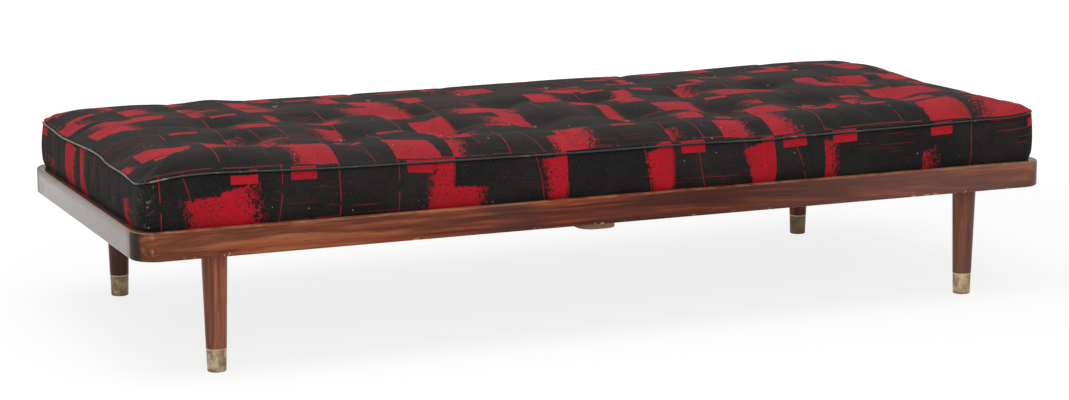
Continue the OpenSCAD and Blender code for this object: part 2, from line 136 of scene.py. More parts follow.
# Knocks on the front rail have bared paler wood: their place along it, height, size and share.
KNOCKS = [(-0.8235, 0.237, 0.0036, 0.9), (-0.8315, 0.2358, 0.0022, 0.8), (-0.815, 0.2362, 0.002, 0.7),
          (-0.889, 0.2358, 0.0022, 0.7), (-0.969, 0.28, 0.0046, 0.34), (-0.969, 0.252, 0.0056, 0.4),
          (-0.98, 0.248, 0.003, 0.3), (0.325, 0.2362, 0.0024, 0.7)]


# Nodes

class Wire:
    """A value that runs between nodes. Sums written with it add the nodes that work them out."""

    def __init__(self, work, socket):
        self.work = work
        self.socket = socket

    def sum(self, operation, *values):
        return self.work.add("ShaderNodeMath", {"operation": operation}, dict(enumerate(values)))

    def __add__(self, other):
        return self.sum("ADD", self, other)

    def __radd__(self, other):
        return self.sum("ADD", other, self)

    def __sub__(self, other):
        return self.sum("SUBTRACT", self, other)

    def __rsub__(self, other):
        return self.sum("SUBTRACT", other, self)

    def __mul__(self, other):
        return self.sum("MULTIPLY", self, other)

    def __rmul__(self, other):
        return self.sum("MULTIPLY", other, self)

    def __truediv__(self, other):
        return self.sum("DIVIDE", self, other)

    def __gt__(self, other):
        return self.sum("GREATER_THAN", self, other)

    def __lt__(self, other):
        return self.sum("LESS_THAN", self, other)

    def __abs__(self):
        return self.sum("ABSOLUTE", self)

    def __floor__(self):
        return self.sum("FLOOR", self)

    def most(self, other):
        return self.sum("MAXIMUM", self, other)

    def sine(self):
        return self.sum("SINE", self)


class Work:
    """A node tree that is being made, with one way to add any node."""

    def __init__(self, tree):
        self.tree = tree

    def add(self, kind, settings=None, values=None, out=0):
        node = self.tree.nodes.new(kind)
        for name, setting in (settings or {}).items():
            if name == "stops":
                self.set_stops(node.color_ramp, setting)
            else:
                setattr(node, name, setting)
        for key, value in (values or {}).items():
            if isinstance(value, Wire):
                self.tree.links.new(value.socket, node.inputs[key])
            else:
                self.set_value(node.inputs[key], value)
        return Wire(self, node.outputs[out]) if len(node.outputs) else None

    def point(self, x=0.0, y=0.0, z=0.0):
        """A vector from three numbers."""
        return self.add("ShaderNodeCombineXYZ", None, {0: x, 1: y, 2: z})

    @staticmethod
    def set_stops(ramp, stops):
        ramp.elements.remove(ramp.elements[1])
        first, colour = stops[0]
        ramp.elements[0].position = first
        ramp.elements[0].color = (*colour, 1)
        for place, colour in stops[1:]:
            ramp.elements.new(place).color = (*colour, 1)

    @staticmethod
    def set_value(socket, value):
        if socket.type == "RGBA" and len(value) == 3:
            value = (*value, 1)
        socket.default_value = value


class Finish(Work):
    """A material of this divan that is being made."""

    def __init__(self, name):
        self.material = bpy.data.materials.new(name)
        self.material.use_nodes = True
        super().__init__(self.material.node_tree)
        self.tree.nodes.clear()

    def place(self):
        """The point on the object, in metres from the middle of its footprint."""
        return self.add("ShaderNodeTexCoord", out="Object")

    def cloth_place(self):
        """The point on the flat cloth, in metres."""
        return self.add("ShaderNodeUVMap", {"uv_map": "cloth"})

    def stretch(self, vector, scale, shift=(0, 0, 0)):
        return self.add("ShaderNodeMapping", None, {"Vector": vector, "Location": shift, "Scale": scale})

    def parts(self, vector):
        """A vector's three numbers."""
        return [self.add("ShaderNodeSeparateXYZ", None, {0: vector}, out=axis) for axis in "XYZ"]

    def noise(self, vector, scale, detail=2.0, rough=0.5, out="Fac"):
        values = {"Vector": vector, "Scale": scale, "Detail": detail, "Roughness": rough}
        return self.add("ShaderNodeTexNoise", None, values, out)

    def streaks(self, vector, scale, detail=2.0, rough=0.5):
        """Noise that is drawn out. Scale has a number for each way."""
        return self.noise(self.stretch(vector, scale), 1.0, detail, rough)

    def cells(self, vector, scale, out="Distance"):
        """How far the nearest of some scattered points is, or its own chance colour."""
        return self.add("ShaderNodeTexVoronoi", None, {"Vector": vector, "Scale": scale}, out)

    def chance(self, vector, out="Value"):
        """A number or colour that is different in every whole cell."""
        return self.add("ShaderNodeTexWhiteNoise", None, {"Vector": vector}, out)

    def ease(self, value, low, high):
        """0 below low and 1 above high, with a soft step between them."""
        settings = {"interpolation_type": "SMOOTHSTEP"}
        return self.add("ShaderNodeMapRange", settings, {0: value, 1: low, 2: high, 3: 0.0, 4: 1.0})

    def fade(self, value, low, high):
        """1 below low and 0 above high, with a soft step between them."""
        return 1 - self.ease(value, low, high)

    def span(self, value, low, high, first, last):
        """Value's way from low to high, carried to the way from first to last."""
        return self.add("ShaderNodeMapRange", None, {0: value, 1: low, 2: high, 3: first, 4: last})

    def ramp(self, value, *stops):
        return self.add("ShaderNodeValToRGB", {"stops": stops}, {0: value})

    def blend(self, share, first, second):
        """The first colour, with a share of the second laid over it."""
        return self.add("ShaderNodeMix", {"data_type": "RGBA"}, {0: share, 6: first, 7: second}, out=2)

    def shift(self, vector, by, amount):
        """The vector moved by a colour's three numbers less their middle value, times amount."""
        centred = self.add("ShaderNodeVectorMath", {"operation": "SUBTRACT"}, {0: by, 1: (0.5, 0.5, 0.5)})
        settings = {"operation": "MULTIPLY_ADD"}
        return self.add("ShaderNodeVectorMath", settings, {0: centred, 1: amount, 2: vector})

    def relief(self, height, depth):
        """A normal that follows height, which is worth depth metres."""
        return self.add("ShaderNodeBump", None, {"Height": height, "Distance": depth, "Strength": 1.0})

    def surface(self, colour, rough, **sockets):
        """Ends the material in one surface shader. The other sockets are named with low lines."""
        values = {"Base Color": colour, "Roughness": rough}
        values.update({name.replace("_", " "): value for name, value in sockets.items()})
        shader = self.add("ShaderNodeBsdfPrincipled", None, values)
        self.add("ShaderNodeOutputMaterial", None, {"Surface": shader})
        return self.material


class Recipe(Work):
    """A geometry tree that is being made, with named inputs for its sizes."""

    def __init__(self, name, **inputs):
        tree = bpy.data.node_groups.new(name, "GeometryNodeTree")
        super().__init__(tree)
        tree.interface.new_socket("Geometry", in_out="INPUT", socket_type="NodeSocketGeometry")
        tree.interface.new_socket("Geometry", in_out="OUTPUT", socket_type="NodeSocketGeometry")
        for label, value in inputs.items():
            kind = "NodeSocketInt" if isinstance(value, int) else "NodeSocketFloat"
            socket = tree.interface.new_socket(label, in_out="INPUT", socket_type=kind)
            socket.default_value = value
        self.inputs = inputs
        self.entry = tree.nodes.new("NodeGroupInput")

    def given(self, label="Geometry"):
        return Wire(self, self.entry.outputs[label])

    def joined(self, *shapes):
        node = self.tree.nodes.new("GeometryNodeJoinGeometry")
        for shape in shapes:
            self.tree.links.new(shape.socket, node.inputs[0])
        return Wire(self, node.outputs[0])

    def tube(self, line, radius, sides, capped=True):
        """A round tube along a line."""
        profile = self.add("GeometryNodeCurvePrimitiveCircle", None, {"Resolution": sides, "Radius": radius})
        return self.add("GeometryNodeCurveToMesh", None, {0: line, 1: profile, "Fill Caps": capped})

    def bow(self, steps, start, middle, last):
        """A curve from start to last that is drawn towards middle."""
        values = {"Resolution": steps, "Start": start, "Middle": middle, "End": last}
        return self.add("GeometryNodeCurveQuadraticBezier", None, values)

    def set_out(self, places, shape, turns, **more):
        """The shape, set on every place and turned."""
        values = {"Points": places, "Instance": shape, "Rotation": turns, **more}
        return self.add("GeometryNodeInstanceOnPoints", None, values)

    def end(self, shape, material, smooth=True):
        """Ends the tree in real faces of one material."""
        made = self.add("GeometryNodeRealizeInstances", None, {0: shape})
        if smooth:
            made = self.add("GeometryNodeSetShadeSmooth", None, {0: made, "Shade Smooth": True})
        made = self.add("GeometryNodeSetMaterial", None, {0: made, "Material": material})
        node = self.tree.nodes.new("NodeGroupOutput")
        self.tree.links.new(made.socket, node.inputs[0])

    def make(self, name, carrier):
        """Runs the tree on carrier and returns the result as a plain mesh piece."""
        modifier = carrier.modifiers.new(self.tree.name, "NODES")
        modifier.node_group = self.tree
        for item in self.tree.interface.items_tree:
            if item.in_out == "INPUT" and item.name in self.inputs:
                modifier[item.identifier] = self.inputs[item.name]
        mesh = settled_mesh(carrier)
        carrier.modifiers.remove(modifier)
        bpy.data.objects.remove(carrier)
        mesh.name = name
        return linked(name, mesh)


# Meshes

def linked(name, data):
    """A new object in the scene."""
    thing = bpy.data.objects.new(name, data)
    scene.collection.objects.link(thing)
    return thing


def settled_mesh(piece):
    """The piece's mesh with its modifiers worked in."""
    depsgraph = bpy.context.evaluated_depsgraph_get()
    depsgraph.update()
    return bpy.data.meshes.new_from_object(piece.evaluated_get(depsgraph))


def settle(piece, smooth=False, wall=0.0):
    """Smooths a piece or gives it a wall inwards, and works that into its mesh."""
    if smooth:
        smoother = piece.modifiers.new("smoother", "SUBSURF")
        smoother.levels = smoother.render_levels = 1
    if wall:
        thickness = piece.modifiers.new("wall", "SOLIDIFY")
        thickness.thickness = wall
        thickness.offset = -1
    mesh = settled_mesh(piece)
    piece.modifiers.clear()
    piece.data = mesh
    return piece


def points_of(mesh):
    """A mesh's points, as rows of three numbers."""
    points = np.empty(len(mesh.vertices) * 3)
    mesh.vertices.foreach_get("co", points)
    return points.reshape(-1, 3)


def write_mesh(bm, mesh):
    """Ends the work on a mesh, with all its faces smooth."""
    for face in bm.faces:
        face.smooth = True
    bm.to_mesh(mesh)
    bm.free()


def rounded_plan(half_x, half_y, corner, across, deep):
    """Rows of points that fill a rectangle with rounded corners."""
    grid_x, grid_y = np.meshgrid(np.linspace(-half_x, half_x, across), np.linspace(-half_y, half_y, deep))
    in_x = np.abs(grid_x) - (half_x - corner)
    in_y = np.abs(grid_y) - (half_y - corner)
    inside = (in_x > 0) & (in_y > 0)
    pull = np.where(inside, np.maximum(in_x, in_y) / np.maximum(np.hypot(in_x, in_y), 1e-9), 1.0)
    shape_x = np.where(inside, np.sign(grid_x) * (half_x - corner + in_x * pull), grid_x)
    shape_y = np.where(inside, np.sign(grid_y) * (half_y - corner + in_y * pull), grid_y)
    return np.column_stack([shape_x.ravel(), shape_y.ravel()])


def sheet_piece(name, points, print_place, closed, material):
    """A sheet from rows of points. Print_place gives each its place on the flat printed cloth.

    A closed sheet's last column of cloth places lies on its first column of points."""
    rows, columns = points.shape[:2]
    spans = columns if closed else columns - 1
    row, column = np.meshgrid(np.arange(rows - 1), np.arange(spans), indexing="ij")
    row, column = row.ravel(), column.ravel()
    around = [(row, column), (row, column + 1), (row + 1, column + 1), (row + 1, column)]
    faces = np.stack([r * columns + c % columns for r, c in around], axis=1)
    mesh = bpy.data.meshes.new(name)
    mesh.from_pydata(points.reshape(-1, 3).tolist(), [], faces.tolist())
    corners = np.stack([print_place[r, c] for r, c in around], axis=1)
    mesh.uv_layers.new(name="cloth").data.foreach_set("uv", corners.ravel())
    mesh.polygons.foreach_set("use_smooth", [True] * len(faces))
    mesh.materials.append(material)
    return linked(name, mesh)


def smooth_steps(values, reach):
    """A closed run of numbers, eased twice over reach numbers."""
    kernel = np.ones(reach) / reach
    for _ in range(2):
        wrapped = np.concatenate([values[-reach:], values, values[:reach]])
        values = np.convolve(wrapped, kernel, "same")[reach:-reach]
    return values


# The mattress's rim

SIDE_X = RIM_X - MATTRESS_CORNER
SIDE_Y = RIM_Y - MATTRESS_CORNER
ARC = MATTRESS_CORNER * TURN / 4
RIM_LENGTH = 4 * (SIDE_X + SIDE_Y + ARC)
RIM_STEPS = 5600
FRONT_CORNER = SIDE_X + ARC / 2
BACK_CORNER = SIDE_X + ARC * 1.5 + 2 * SIDE_Y
CORNER_WAYS = [FRONT_CORNER, -FRONT_CORNER, BACK_CORNER, -BACK_CORNER]


def rim_point(way):
    """The point and outward direction at a distance from the middle of the front.

    Distances grow towards the right, and run from minus half the rim's length to half of it."""
    way = way % RIM_LENGTH
    turn, end = (ARC, True), (2 * SIDE_Y, False)
    legs = [(SIDE_X, False), turn, end, turn, (2 * SIDE_X, False), turn, end, turn, (SIDE_X + 1e-6, False)]
    place = np.array([0.0, -RIM_Y])
    heading = 0.0
    for length, turns in legs:
        run = min(way, length)
        ahead = np.array([math.cos(heading), math.sin(heading)])
        if turns:
            bend = run / MATTRESS_CORNER
            side = np.array([-ahead[1], ahead[0]])
            place = place + MATTRESS_CORNER * (math.sin(bend) * ahead + (1 - math.cos(bend)) * side)
            heading += bend
        else:
            place = place + run * ahead
        way -= run
        if way <= 0:
            break
    return place, np.array([math.sin(heading), -math.cos(heading)])


RIM_WAYS = (np.arange(RIM_STEPS) / RIM_STEPS - 0.5) * RIM_LENGTH
RIM_PLACES, RIM_OUTWARD = (np.array(v) for v in zip(*[rim_point(way) for way in RIM_WAYS]))


def rim_heights():
    """How far the top seam lies above the solid model's, at every step of the rim."""
    half = SIDE_X + ARC + SIDE_Y
    back = half + SIDE_Y + ARC + SIDE_X
    knots = SEAM_FRONT + [(half + y, z) for y, z in SEAM_RIGHT]
    knots += [(back - x, z) for x, z in SEAM_BACK] + [(-half - y, z) for y, z in SEAM_LEFT]
    ways, heights = np.array(knots).T
    ways = (ways + RIM_LENGTH / 2) % RIM_LENGTH - RIM_LENGTH / 2
    order = np.argsort(ways)
    heights = np.interp(RIM_WAYS, ways[order], heights[order] - TOP_WELT_HEIGHT, period=RIM_LENGTH)
    return smooth_steps(heights, 45)


RIM_WAVE = rim_heights()


def ring(out, height, wave_share=1.0, every=1):
    """Points round the rim, moved out and set at a height, with a share of the seam's wave."""
    places = RIM_PLACES + RIM_OUTWARD * out
    return np.column_stack([places, height + RIM_WAVE * wave_share])[::every]


def nearest_rim(points):
    """For each point, the distance to the rim, and the seam's wave and outward direction there."""
    places = RIM_PLACES[::4]
    distance = np.empty(len(points))
    nearest = np.empty(len(points), int)
    for start in range(0, len(points), 2000):
        gap = points[start:start + 2000, None, :2] - places[None]
        far = np.hypot(gap[..., 0], gap[..., 1])
        nearest[start:start + 2000] = far.argmin(1)
        distance[start:start + 2000] = far.min(1)
    return distance, RIM_WAVE[::4][nearest], RIM_OUTWARD[::4][nearest]


def ease_between(values, low, high):
    """0 below low and 1 above high, with a soft step between them."""
    share = np.clip((values - low) / (high - low), 0, 1)
    return share * share * (3 - 2 * share)


# Camera, floor and lamps

def aimed(way):
    """The turn that points a camera or a lamp that way."""
    return Vector(way).to_track_quat("-Z", "Y").to_euler()


def set_camera():
    data = bpy.data.cameras.new("camera")
    camera = linked("camera", data)
    data.sensor_width = SENSOR
    data.lens = LENS
    data.shift_x, data.shift_y = CAMERA_SHIFT
    data.clip_end = 100
    camera.location = CAMERA_PLACE
    camera.rotation_euler = aimed(CAMERA_LOOK)
    scene.camera = camera


def seen_ray(work):
    """1 on a ray from the camera, or one that gloss or glass sends on."""
    kinds = [work.add("ShaderNodeLightPath", out=name)
             for name in ("Is Camera Ray", "Is Glossy Ray", "Is Transmission Ray")]
    return kinds[0].most(kinds[1]).most(kinds[2])


def set_floor():
    """A pale floor. What is seen of it is white, apart from the divan's soft shadow, which a dimmer glow
    near the divan widens as painted shade.
    """
    f = Finish("floor_paper")
    x, y, _ = f.parts(f.place())
    # Near the divan the seen glow is dimmer, a painted shade round the real shadow; far off the floor is
    # plain white.
    far = f.ease(x * x * 0.36 + y * y, 1.0, 4.2)
    glow = f.add("ShaderNodeEmission", None, {"Color": f.blend(far, (FLOOR_GLOW,) * 3, (1.0, 1.0, 1.0))})
    shadow = f.add("ShaderNodeBsdfDiffuse", None, {"Color": (FLOOR_SHADOW_SHARE,) * 3})
    seen = f.add("ShaderNodeAddShader", None, {0: shadow, 1: glow})
    plain = f.add("ShaderNodeBsdfDiffuse", None, {"Color": (FLOOR_TONE,) * 3})
    mixed = f.add("ShaderNodeMixShader", None, {0: seen_ray(f), 1: plain, 2: seen})
    f.add("ShaderNodeOutputMaterial", None, {"Surface": mixed})
    half = FLOOR_SIZE / 2
    mesh = bpy.data.meshes.new("floor")
    mesh.from_pydata([(-half, -half, 0), (half, -half, 0), (half, half, 0), (-half, half, 0)], [],
                     [(0, 1, 2, 3)])
    mesh.materials.append(f.material)
    floor = linked("floor", mesh)


def set_room():
    """Even white light from all round, which the camera sees as plain white."""
    world = bpy.data.worlds.new("room")
    scene.world = world
    world.use_nodes = True
    work = Work(world.node_tree)
    work.tree.nodes.clear()
    strength = work.add("ShaderNodeMix", {"data_type": "FLOAT"}, {0: seen_ray(work), 2: ROOM_LIGHT, 3: 1.0})
    light = work.add("ShaderNodeBackground", None, {"Color": (1, 1, 1), "Strength": strength})
    work.add("ShaderNodeOutputWorld", None, {"Surface": light})


def set_lamp(name, place, aim, size, power):
    """A soft rectangular lamp."""
    data = bpy.data.lights.new(name, "AREA")
    data.shape = "RECTANGLE"
    data.size, data.size_y = size
    data.energy = power
    lamp = linked(name, data)
    lamp.location = place
    lamp.rotation_euler = aimed(Vector(aim) - Vector(place))


# Finishes

# The middle of the wood's figure, the print's colours, and how far apart the cloth's threads lie.
MIDDLE_TONE = 0.473
BLACK = (0.009, 0.0085, 0.0085)
RED = (0.455, 0.0085, 0.019)
WARP_PITCH = 0.0011
WEFT_PITCH = 0.0013


def along_grain(grain, across, along):
    """A scale for each way, with another one along the grain's axis."""
    scales = [across] * 3
    scales[grain] = along
    return scales


def lacquered_wood(name, grain, shift, coat=(0.45, 1.3), tone_shift=0.0, bloom=0.09, rubbed=0.5,
                   faded=0.0):
    """Reddish stained wood under old lacquer. Grain is the axis that its figure runs along.

    Coat is the lacquer's weight and index, bloom is how milky it is, partly real bloom and partly painted
    haze, and faded how grey.
    Rubbed is how pale a rail's top edge is painted, partly as bare rubbed wood and partly as a painted
    highlight, and legs have none."""
    f = Finish(name)
    place = f.place()
    x, y, z = f.parts(place)
    flow = f.stretch(place, along_grain(grain, 11.0, 0.9), shift)
    wander = f.noise(flow, 0.8, 2.0, 0.5, "Color")
    flow = f.shift(flow, wander, (0.9, 0.9, 0.9))
    drawn = f.stretch(flow, along_grain(grain, 1.0, 0.3), (1.0, 6.0, 3.0))
    drift = f.noise(flow, 0.55, 3.0, 0.55)
    streak = f.noise(drawn, 3.2, 7.0, 0.62)
    bands = f.noise(drawn, 9.5, 4.0, 0.5)
    pores = f.noise(f.stretch(place, along_grain(grain, 420.0, 26.0), shift), 1.0, 2.0, 0.6)
    pore = f.ease(pores, 0.6, 0.72)
    hair = f.noise(drawn, 24.0, 3.0, 0.6)
    tone = drift * 0.44 + streak * 0.4 + bands * 0.26 + hair * 0.27 + (tone_shift - 0.197)
    if rubbed:
        # The rails are lighter towards the left end, and towards the right they carry a milky painted
        # reflection.
        if not faded:
            # The long rails' figure is plain towards the left end and strong at the middle.
            figure = 1.45 - f.ease(x * -1.0, 0.2, 0.55) * 0.85 - f.ease(x, 0.1, 0.45) * 0.4
            tone = (tone - MIDDLE_TONE) * figure + MIDDLE_TONE
        tone = tone + f.ease(x * -1.0, 0.15, 0.75) * 0.072 + f.ease(x, 0.1, 0.5) * 0.014
    wood = f.ramp(tone, (0.34, (0.04, 0.006, 0.0022)), (0.42, (0.105, 0.015, 0.0048)),
                  (0.5, (0.186, 0.0345, 0.0115)), (0.58, (0.312, 0.095, 0.0345)),
                  (0.68, (0.39, 0.148, 0.053)))
    # Dark flame lines wander along the grain in some stretches.
    flame = f.noise(flow, 1.5, 4.0, 0.5)
    some = f.ease(f.noise(flow, 0.35, 2.0, 0.5), 0.4, 0.54)
    lines = f.fade(abs(flame - 0.5), 0.0, 0.058) * some
    wood = f.blend(lines * 0.7, wood, (0.058, 0.0095, 0.0045))
    wood = f.blend(pore * 0.6, wood, (0.036, 0.007, 0.003))
    haze = f.noise(place, 5.0, 3.0, 0.6)
    if rubbed:
        # Dark heartwood runs through the long rails, left of the middle.
        heart = f.fade(abs(x + z * 0.8 + 0.035), 0.015, 0.095) * f.ease(bands, 0.4, 0.5)
        wood = f.blend(heart * 0.8, wood, (0.04, 0.012, 0.011))
    milk_and_reflection = (f.ease(haze, 0.4, 0.75) * 0.8 + 0.5) * bloom
    if rubbed:
        # Towards the right the milkiness is a painted reflection.
        milk_and_reflection = milk_and_reflection + f.ease(x, 0.1, 0.8) * 0.36
    wood = f.blend(milk_and_reflection, wood, (0.17, 0.105, 0.085))
    wood = f.blend(faded, wood, (0.1, 0.072, 0.052))
    if rubbed:
        rub = f.noise(f.stretch(place, (9.0, 9.0, 40.0)), 2.0, 5.0, 0.7)
        # The top edge is painted pale: partly bare rubbed wood, partly a painted highlight that is stronger
        # at the left end.
        edge = f.ease(z, TRAY_TOP - 0.0026, TRAY_TOP - 0.0008)
        bare_and_highlight = rubbed if faded else rubbed + f.ease(x * -1.0, 0.925, 0.955) * 0.5
        wood = f.blend(edge * f.ease(rub, 0.36, 0.58) * bare_and_highlight, wood, (0.4, 0.195, 0.105))
        # Painted shade darkens the rail's top just under the mattress band, towards the ends.
        painted_shade_by_cloth = f.ease(z, TRAY_TOP - 0.001, TRAY_TOP - 0.0003) * f.fade(abs(x), 0.99, 0.995)
        wood = f.blend(painted_shade_by_cloth * f.ease(abs(x), 0.94, 0.97) * 0.75, wood, (0.025, 0.014, 0.01))
        foot = f.fade(z, TRAY_FOOT + 0.001, TRAY_FOOT + 0.006)
        chip = f.ease(f.noise(place, 34.0, 3.0, 0.7), 0.61, 0.65)
        wood = f.blend(foot * chip * 0.8, wood, (0.45, 0.3, 0.2))
        wood = f.blend(foot * f.ease(rub, 0.5, 0.7) * 0.5, wood, (0.02, 0.008, 0.006))
        ragged = f.noise(place, 420.0, 2.0, 0.6)
        for at, up, size, share in KNOCKS:
            off = (x - at) * (x - at) * 2.0 + (z - up) * (z - up)
            knock = f.fade(off + (ragged - 0.5) * (size * size * 7), 0.0, size * size)
            wood = f.blend(knock * (y < 0) * share, wood, (0.5, 0.33, 0.23))
        # The turned corners carry a painted dark reflection and painted shade where they face the ends.
        corner = f.ease(abs(x), 0.984, 0.9925) * 0.66 + f.ease(abs(x), 0.96, 0.992) * 0.3
        corner = corner * (x * -0.35 + 0.65)
        corner = corner * f.ease(abs(y), 0.37, 0.376) * (1 - edge * 0.7)
        wood = f.blend(corner, wood, (0.018, 0.014, 0.012))
    lot = f.parts(f.cells(place, 21.0, "Color"))[0]
    nick = f.fade(f.cells(place, 21.0), 0.02, 0.034) * (lot > 0.8)
    wood = f.blend(nick * 0.7, wood, (0.5, 0.35, 0.25))
    rough = 0.4 + haze * 0.16 + pore * 0.15
    normal = f.relief(pores * 0.35 + streak * 0.25 - nick * 0.8, 0.00022)
    gloss = coat[0] * (1.0 - nick * 0.6 - f.ease(haze, 0.58, 0.72) * 0.25)
    if faded:
        # The shoulder of an end rail and its ends beside the corners are duller.
        shoulder = f.ease(z, TRAY_TOP - 0.02, TRAY_TOP - 0.006) * (f.ease(y, -0.1, 0.35) * 0.2 + 0.2)
        gloss = gloss * (1 - shoulder) * (1 - f.ease(abs(y), 0.345, 0.37) * 0.3)
    return f.surface(wood, rough, Normal=normal, Coat_Weight=gloss, Coat_Roughness=0.14,
                     Coat_IOR=coat[1], Specular_IOR_Level=0.02)


def bare_wood(name, grain, shift, light, shade):
    """Planed inner wood, with growth lines, pores and some dust."""
    f = Finish(name)
    place = f.place()
    flow = f.stretch(place, along_grain(grain, 16.0, 1.3), shift)
    flow = f.shift(flow, f.noise(flow, 0.7, 2.0, 0.5, "Color"), (0.8, 0.8, 0.8))
    growth = f.noise(flow, 2.4, 6.0, 0.55)
    lines = (growth * 46.0).sine() * 0.5 + 0.5
    pores = f.streaks(place, along_grain(grain, 500.0, 30.0), 2.0, 0.6)
    wood = f.blend(f.ease(growth, 0.35, 0.68), shade, light)
    wood = f.blend(lines * 0.28, wood, shade)
    wood = f.blend(f.ease(pores, 0.6, 0.7) * 0.45, wood, tuple(c * 0.35 for c in shade))
    dust = f.noise(place, 9.0, 4.0, 0.65)
    wood = f.blend(f.ease(dust, 0.55, 0.8) * 0.3, wood, (0.3, 0.27, 0.23))
    normal = f.relief(pores * 0.6 + lines * 0.2, 0.00025)
    return f.surface(wood, 0.55 + dust * 0.2, Normal=normal)


def aged_brass():
    """Brass that has dulled to olive brown, with rubbed places and upright scratches."""
    f = Finish("aged_brass")
    place = f.place()
    x, y, z = f.parts(place)
    patina = f.noise(place, 55.0, 5.0, 0.65)
    scratch = f.streaks(place, (900.0, 900.0, 30.0), 3.0, 0.6)
    spots = f.noise(place, 260.0, 3.0, 0.6)
    bright = (0.54, 0.415, 0.245)
    dull = (0.225, 0.165, 0.098)
    metal = f.blend(f.ease(patina, 0.36, 0.62), bright, dull)
    metal = f.blend(f.ease(scratch, 0.57, 0.72) * 0.55, metal, (0.13, 0.095, 0.058))
    metal = f.blend(f.ease(spots, 0.62, 0.72) * 0.6, metal, (0.1, 0.07, 0.04))
    worn = f.fade(z, 0.001, 0.01)
    metal = f.blend(worn * 0.5, metal, (0.18, 0.14, 0.09))
    # The back feet are darkened with painted shade, the right one most.
    painted_shade_behind = f.ease(y, -0.1, 0.1)
    farther = f.ease(x, -0.1, 0.1) * 0.38 + 0.5
    metal = f.blend(painted_shade_behind * farther, metal, (0.095, 0.066, 0.036))
    lip = f.ease(z, FERRULE_TOP - 0.0025, FERRULE_TOP - 0.0005)
    metal = f.blend(lip * 0.55, metal, (0.8, 0.66, 0.43))
    rough = 0.36 + patina * 0.26 + worn * 0.12
    normal = f.relief(scratch * 0.6 + spots * 0.5, 0.00012)
    return f.surface(metal, rough, Metallic=1.0 - f.ease(spots, 0.62, 0.72) * 0.5, Normal=normal)


def plated_steel(name, tone, stain):
    """Plated steel that has gone cloudy, with small rust stains."""
    f = Finish(name)
    place = f.place()
    clouds = f.noise(place, 120.0, 4.0, 0.6)
    rust = f.ease(f.noise(place, 420.0, 3.0, 0.65), 0.58, 0.72)
    metal = f.blend(f.ease(clouds, 0.35, 0.7), tone, tuple(c * 0.62 for c in tone))
    metal = f.blend(rust * 0.5, metal, stain)
    normal = f.relief(f.noise(place, 1500.0, 2.0, 0.5), 0.00005)
    return f.surface(metal, 0.34 + clouds * 0.22 + rust * 0.2, Metallic=1.0 - rust * 0.6, Normal=normal)


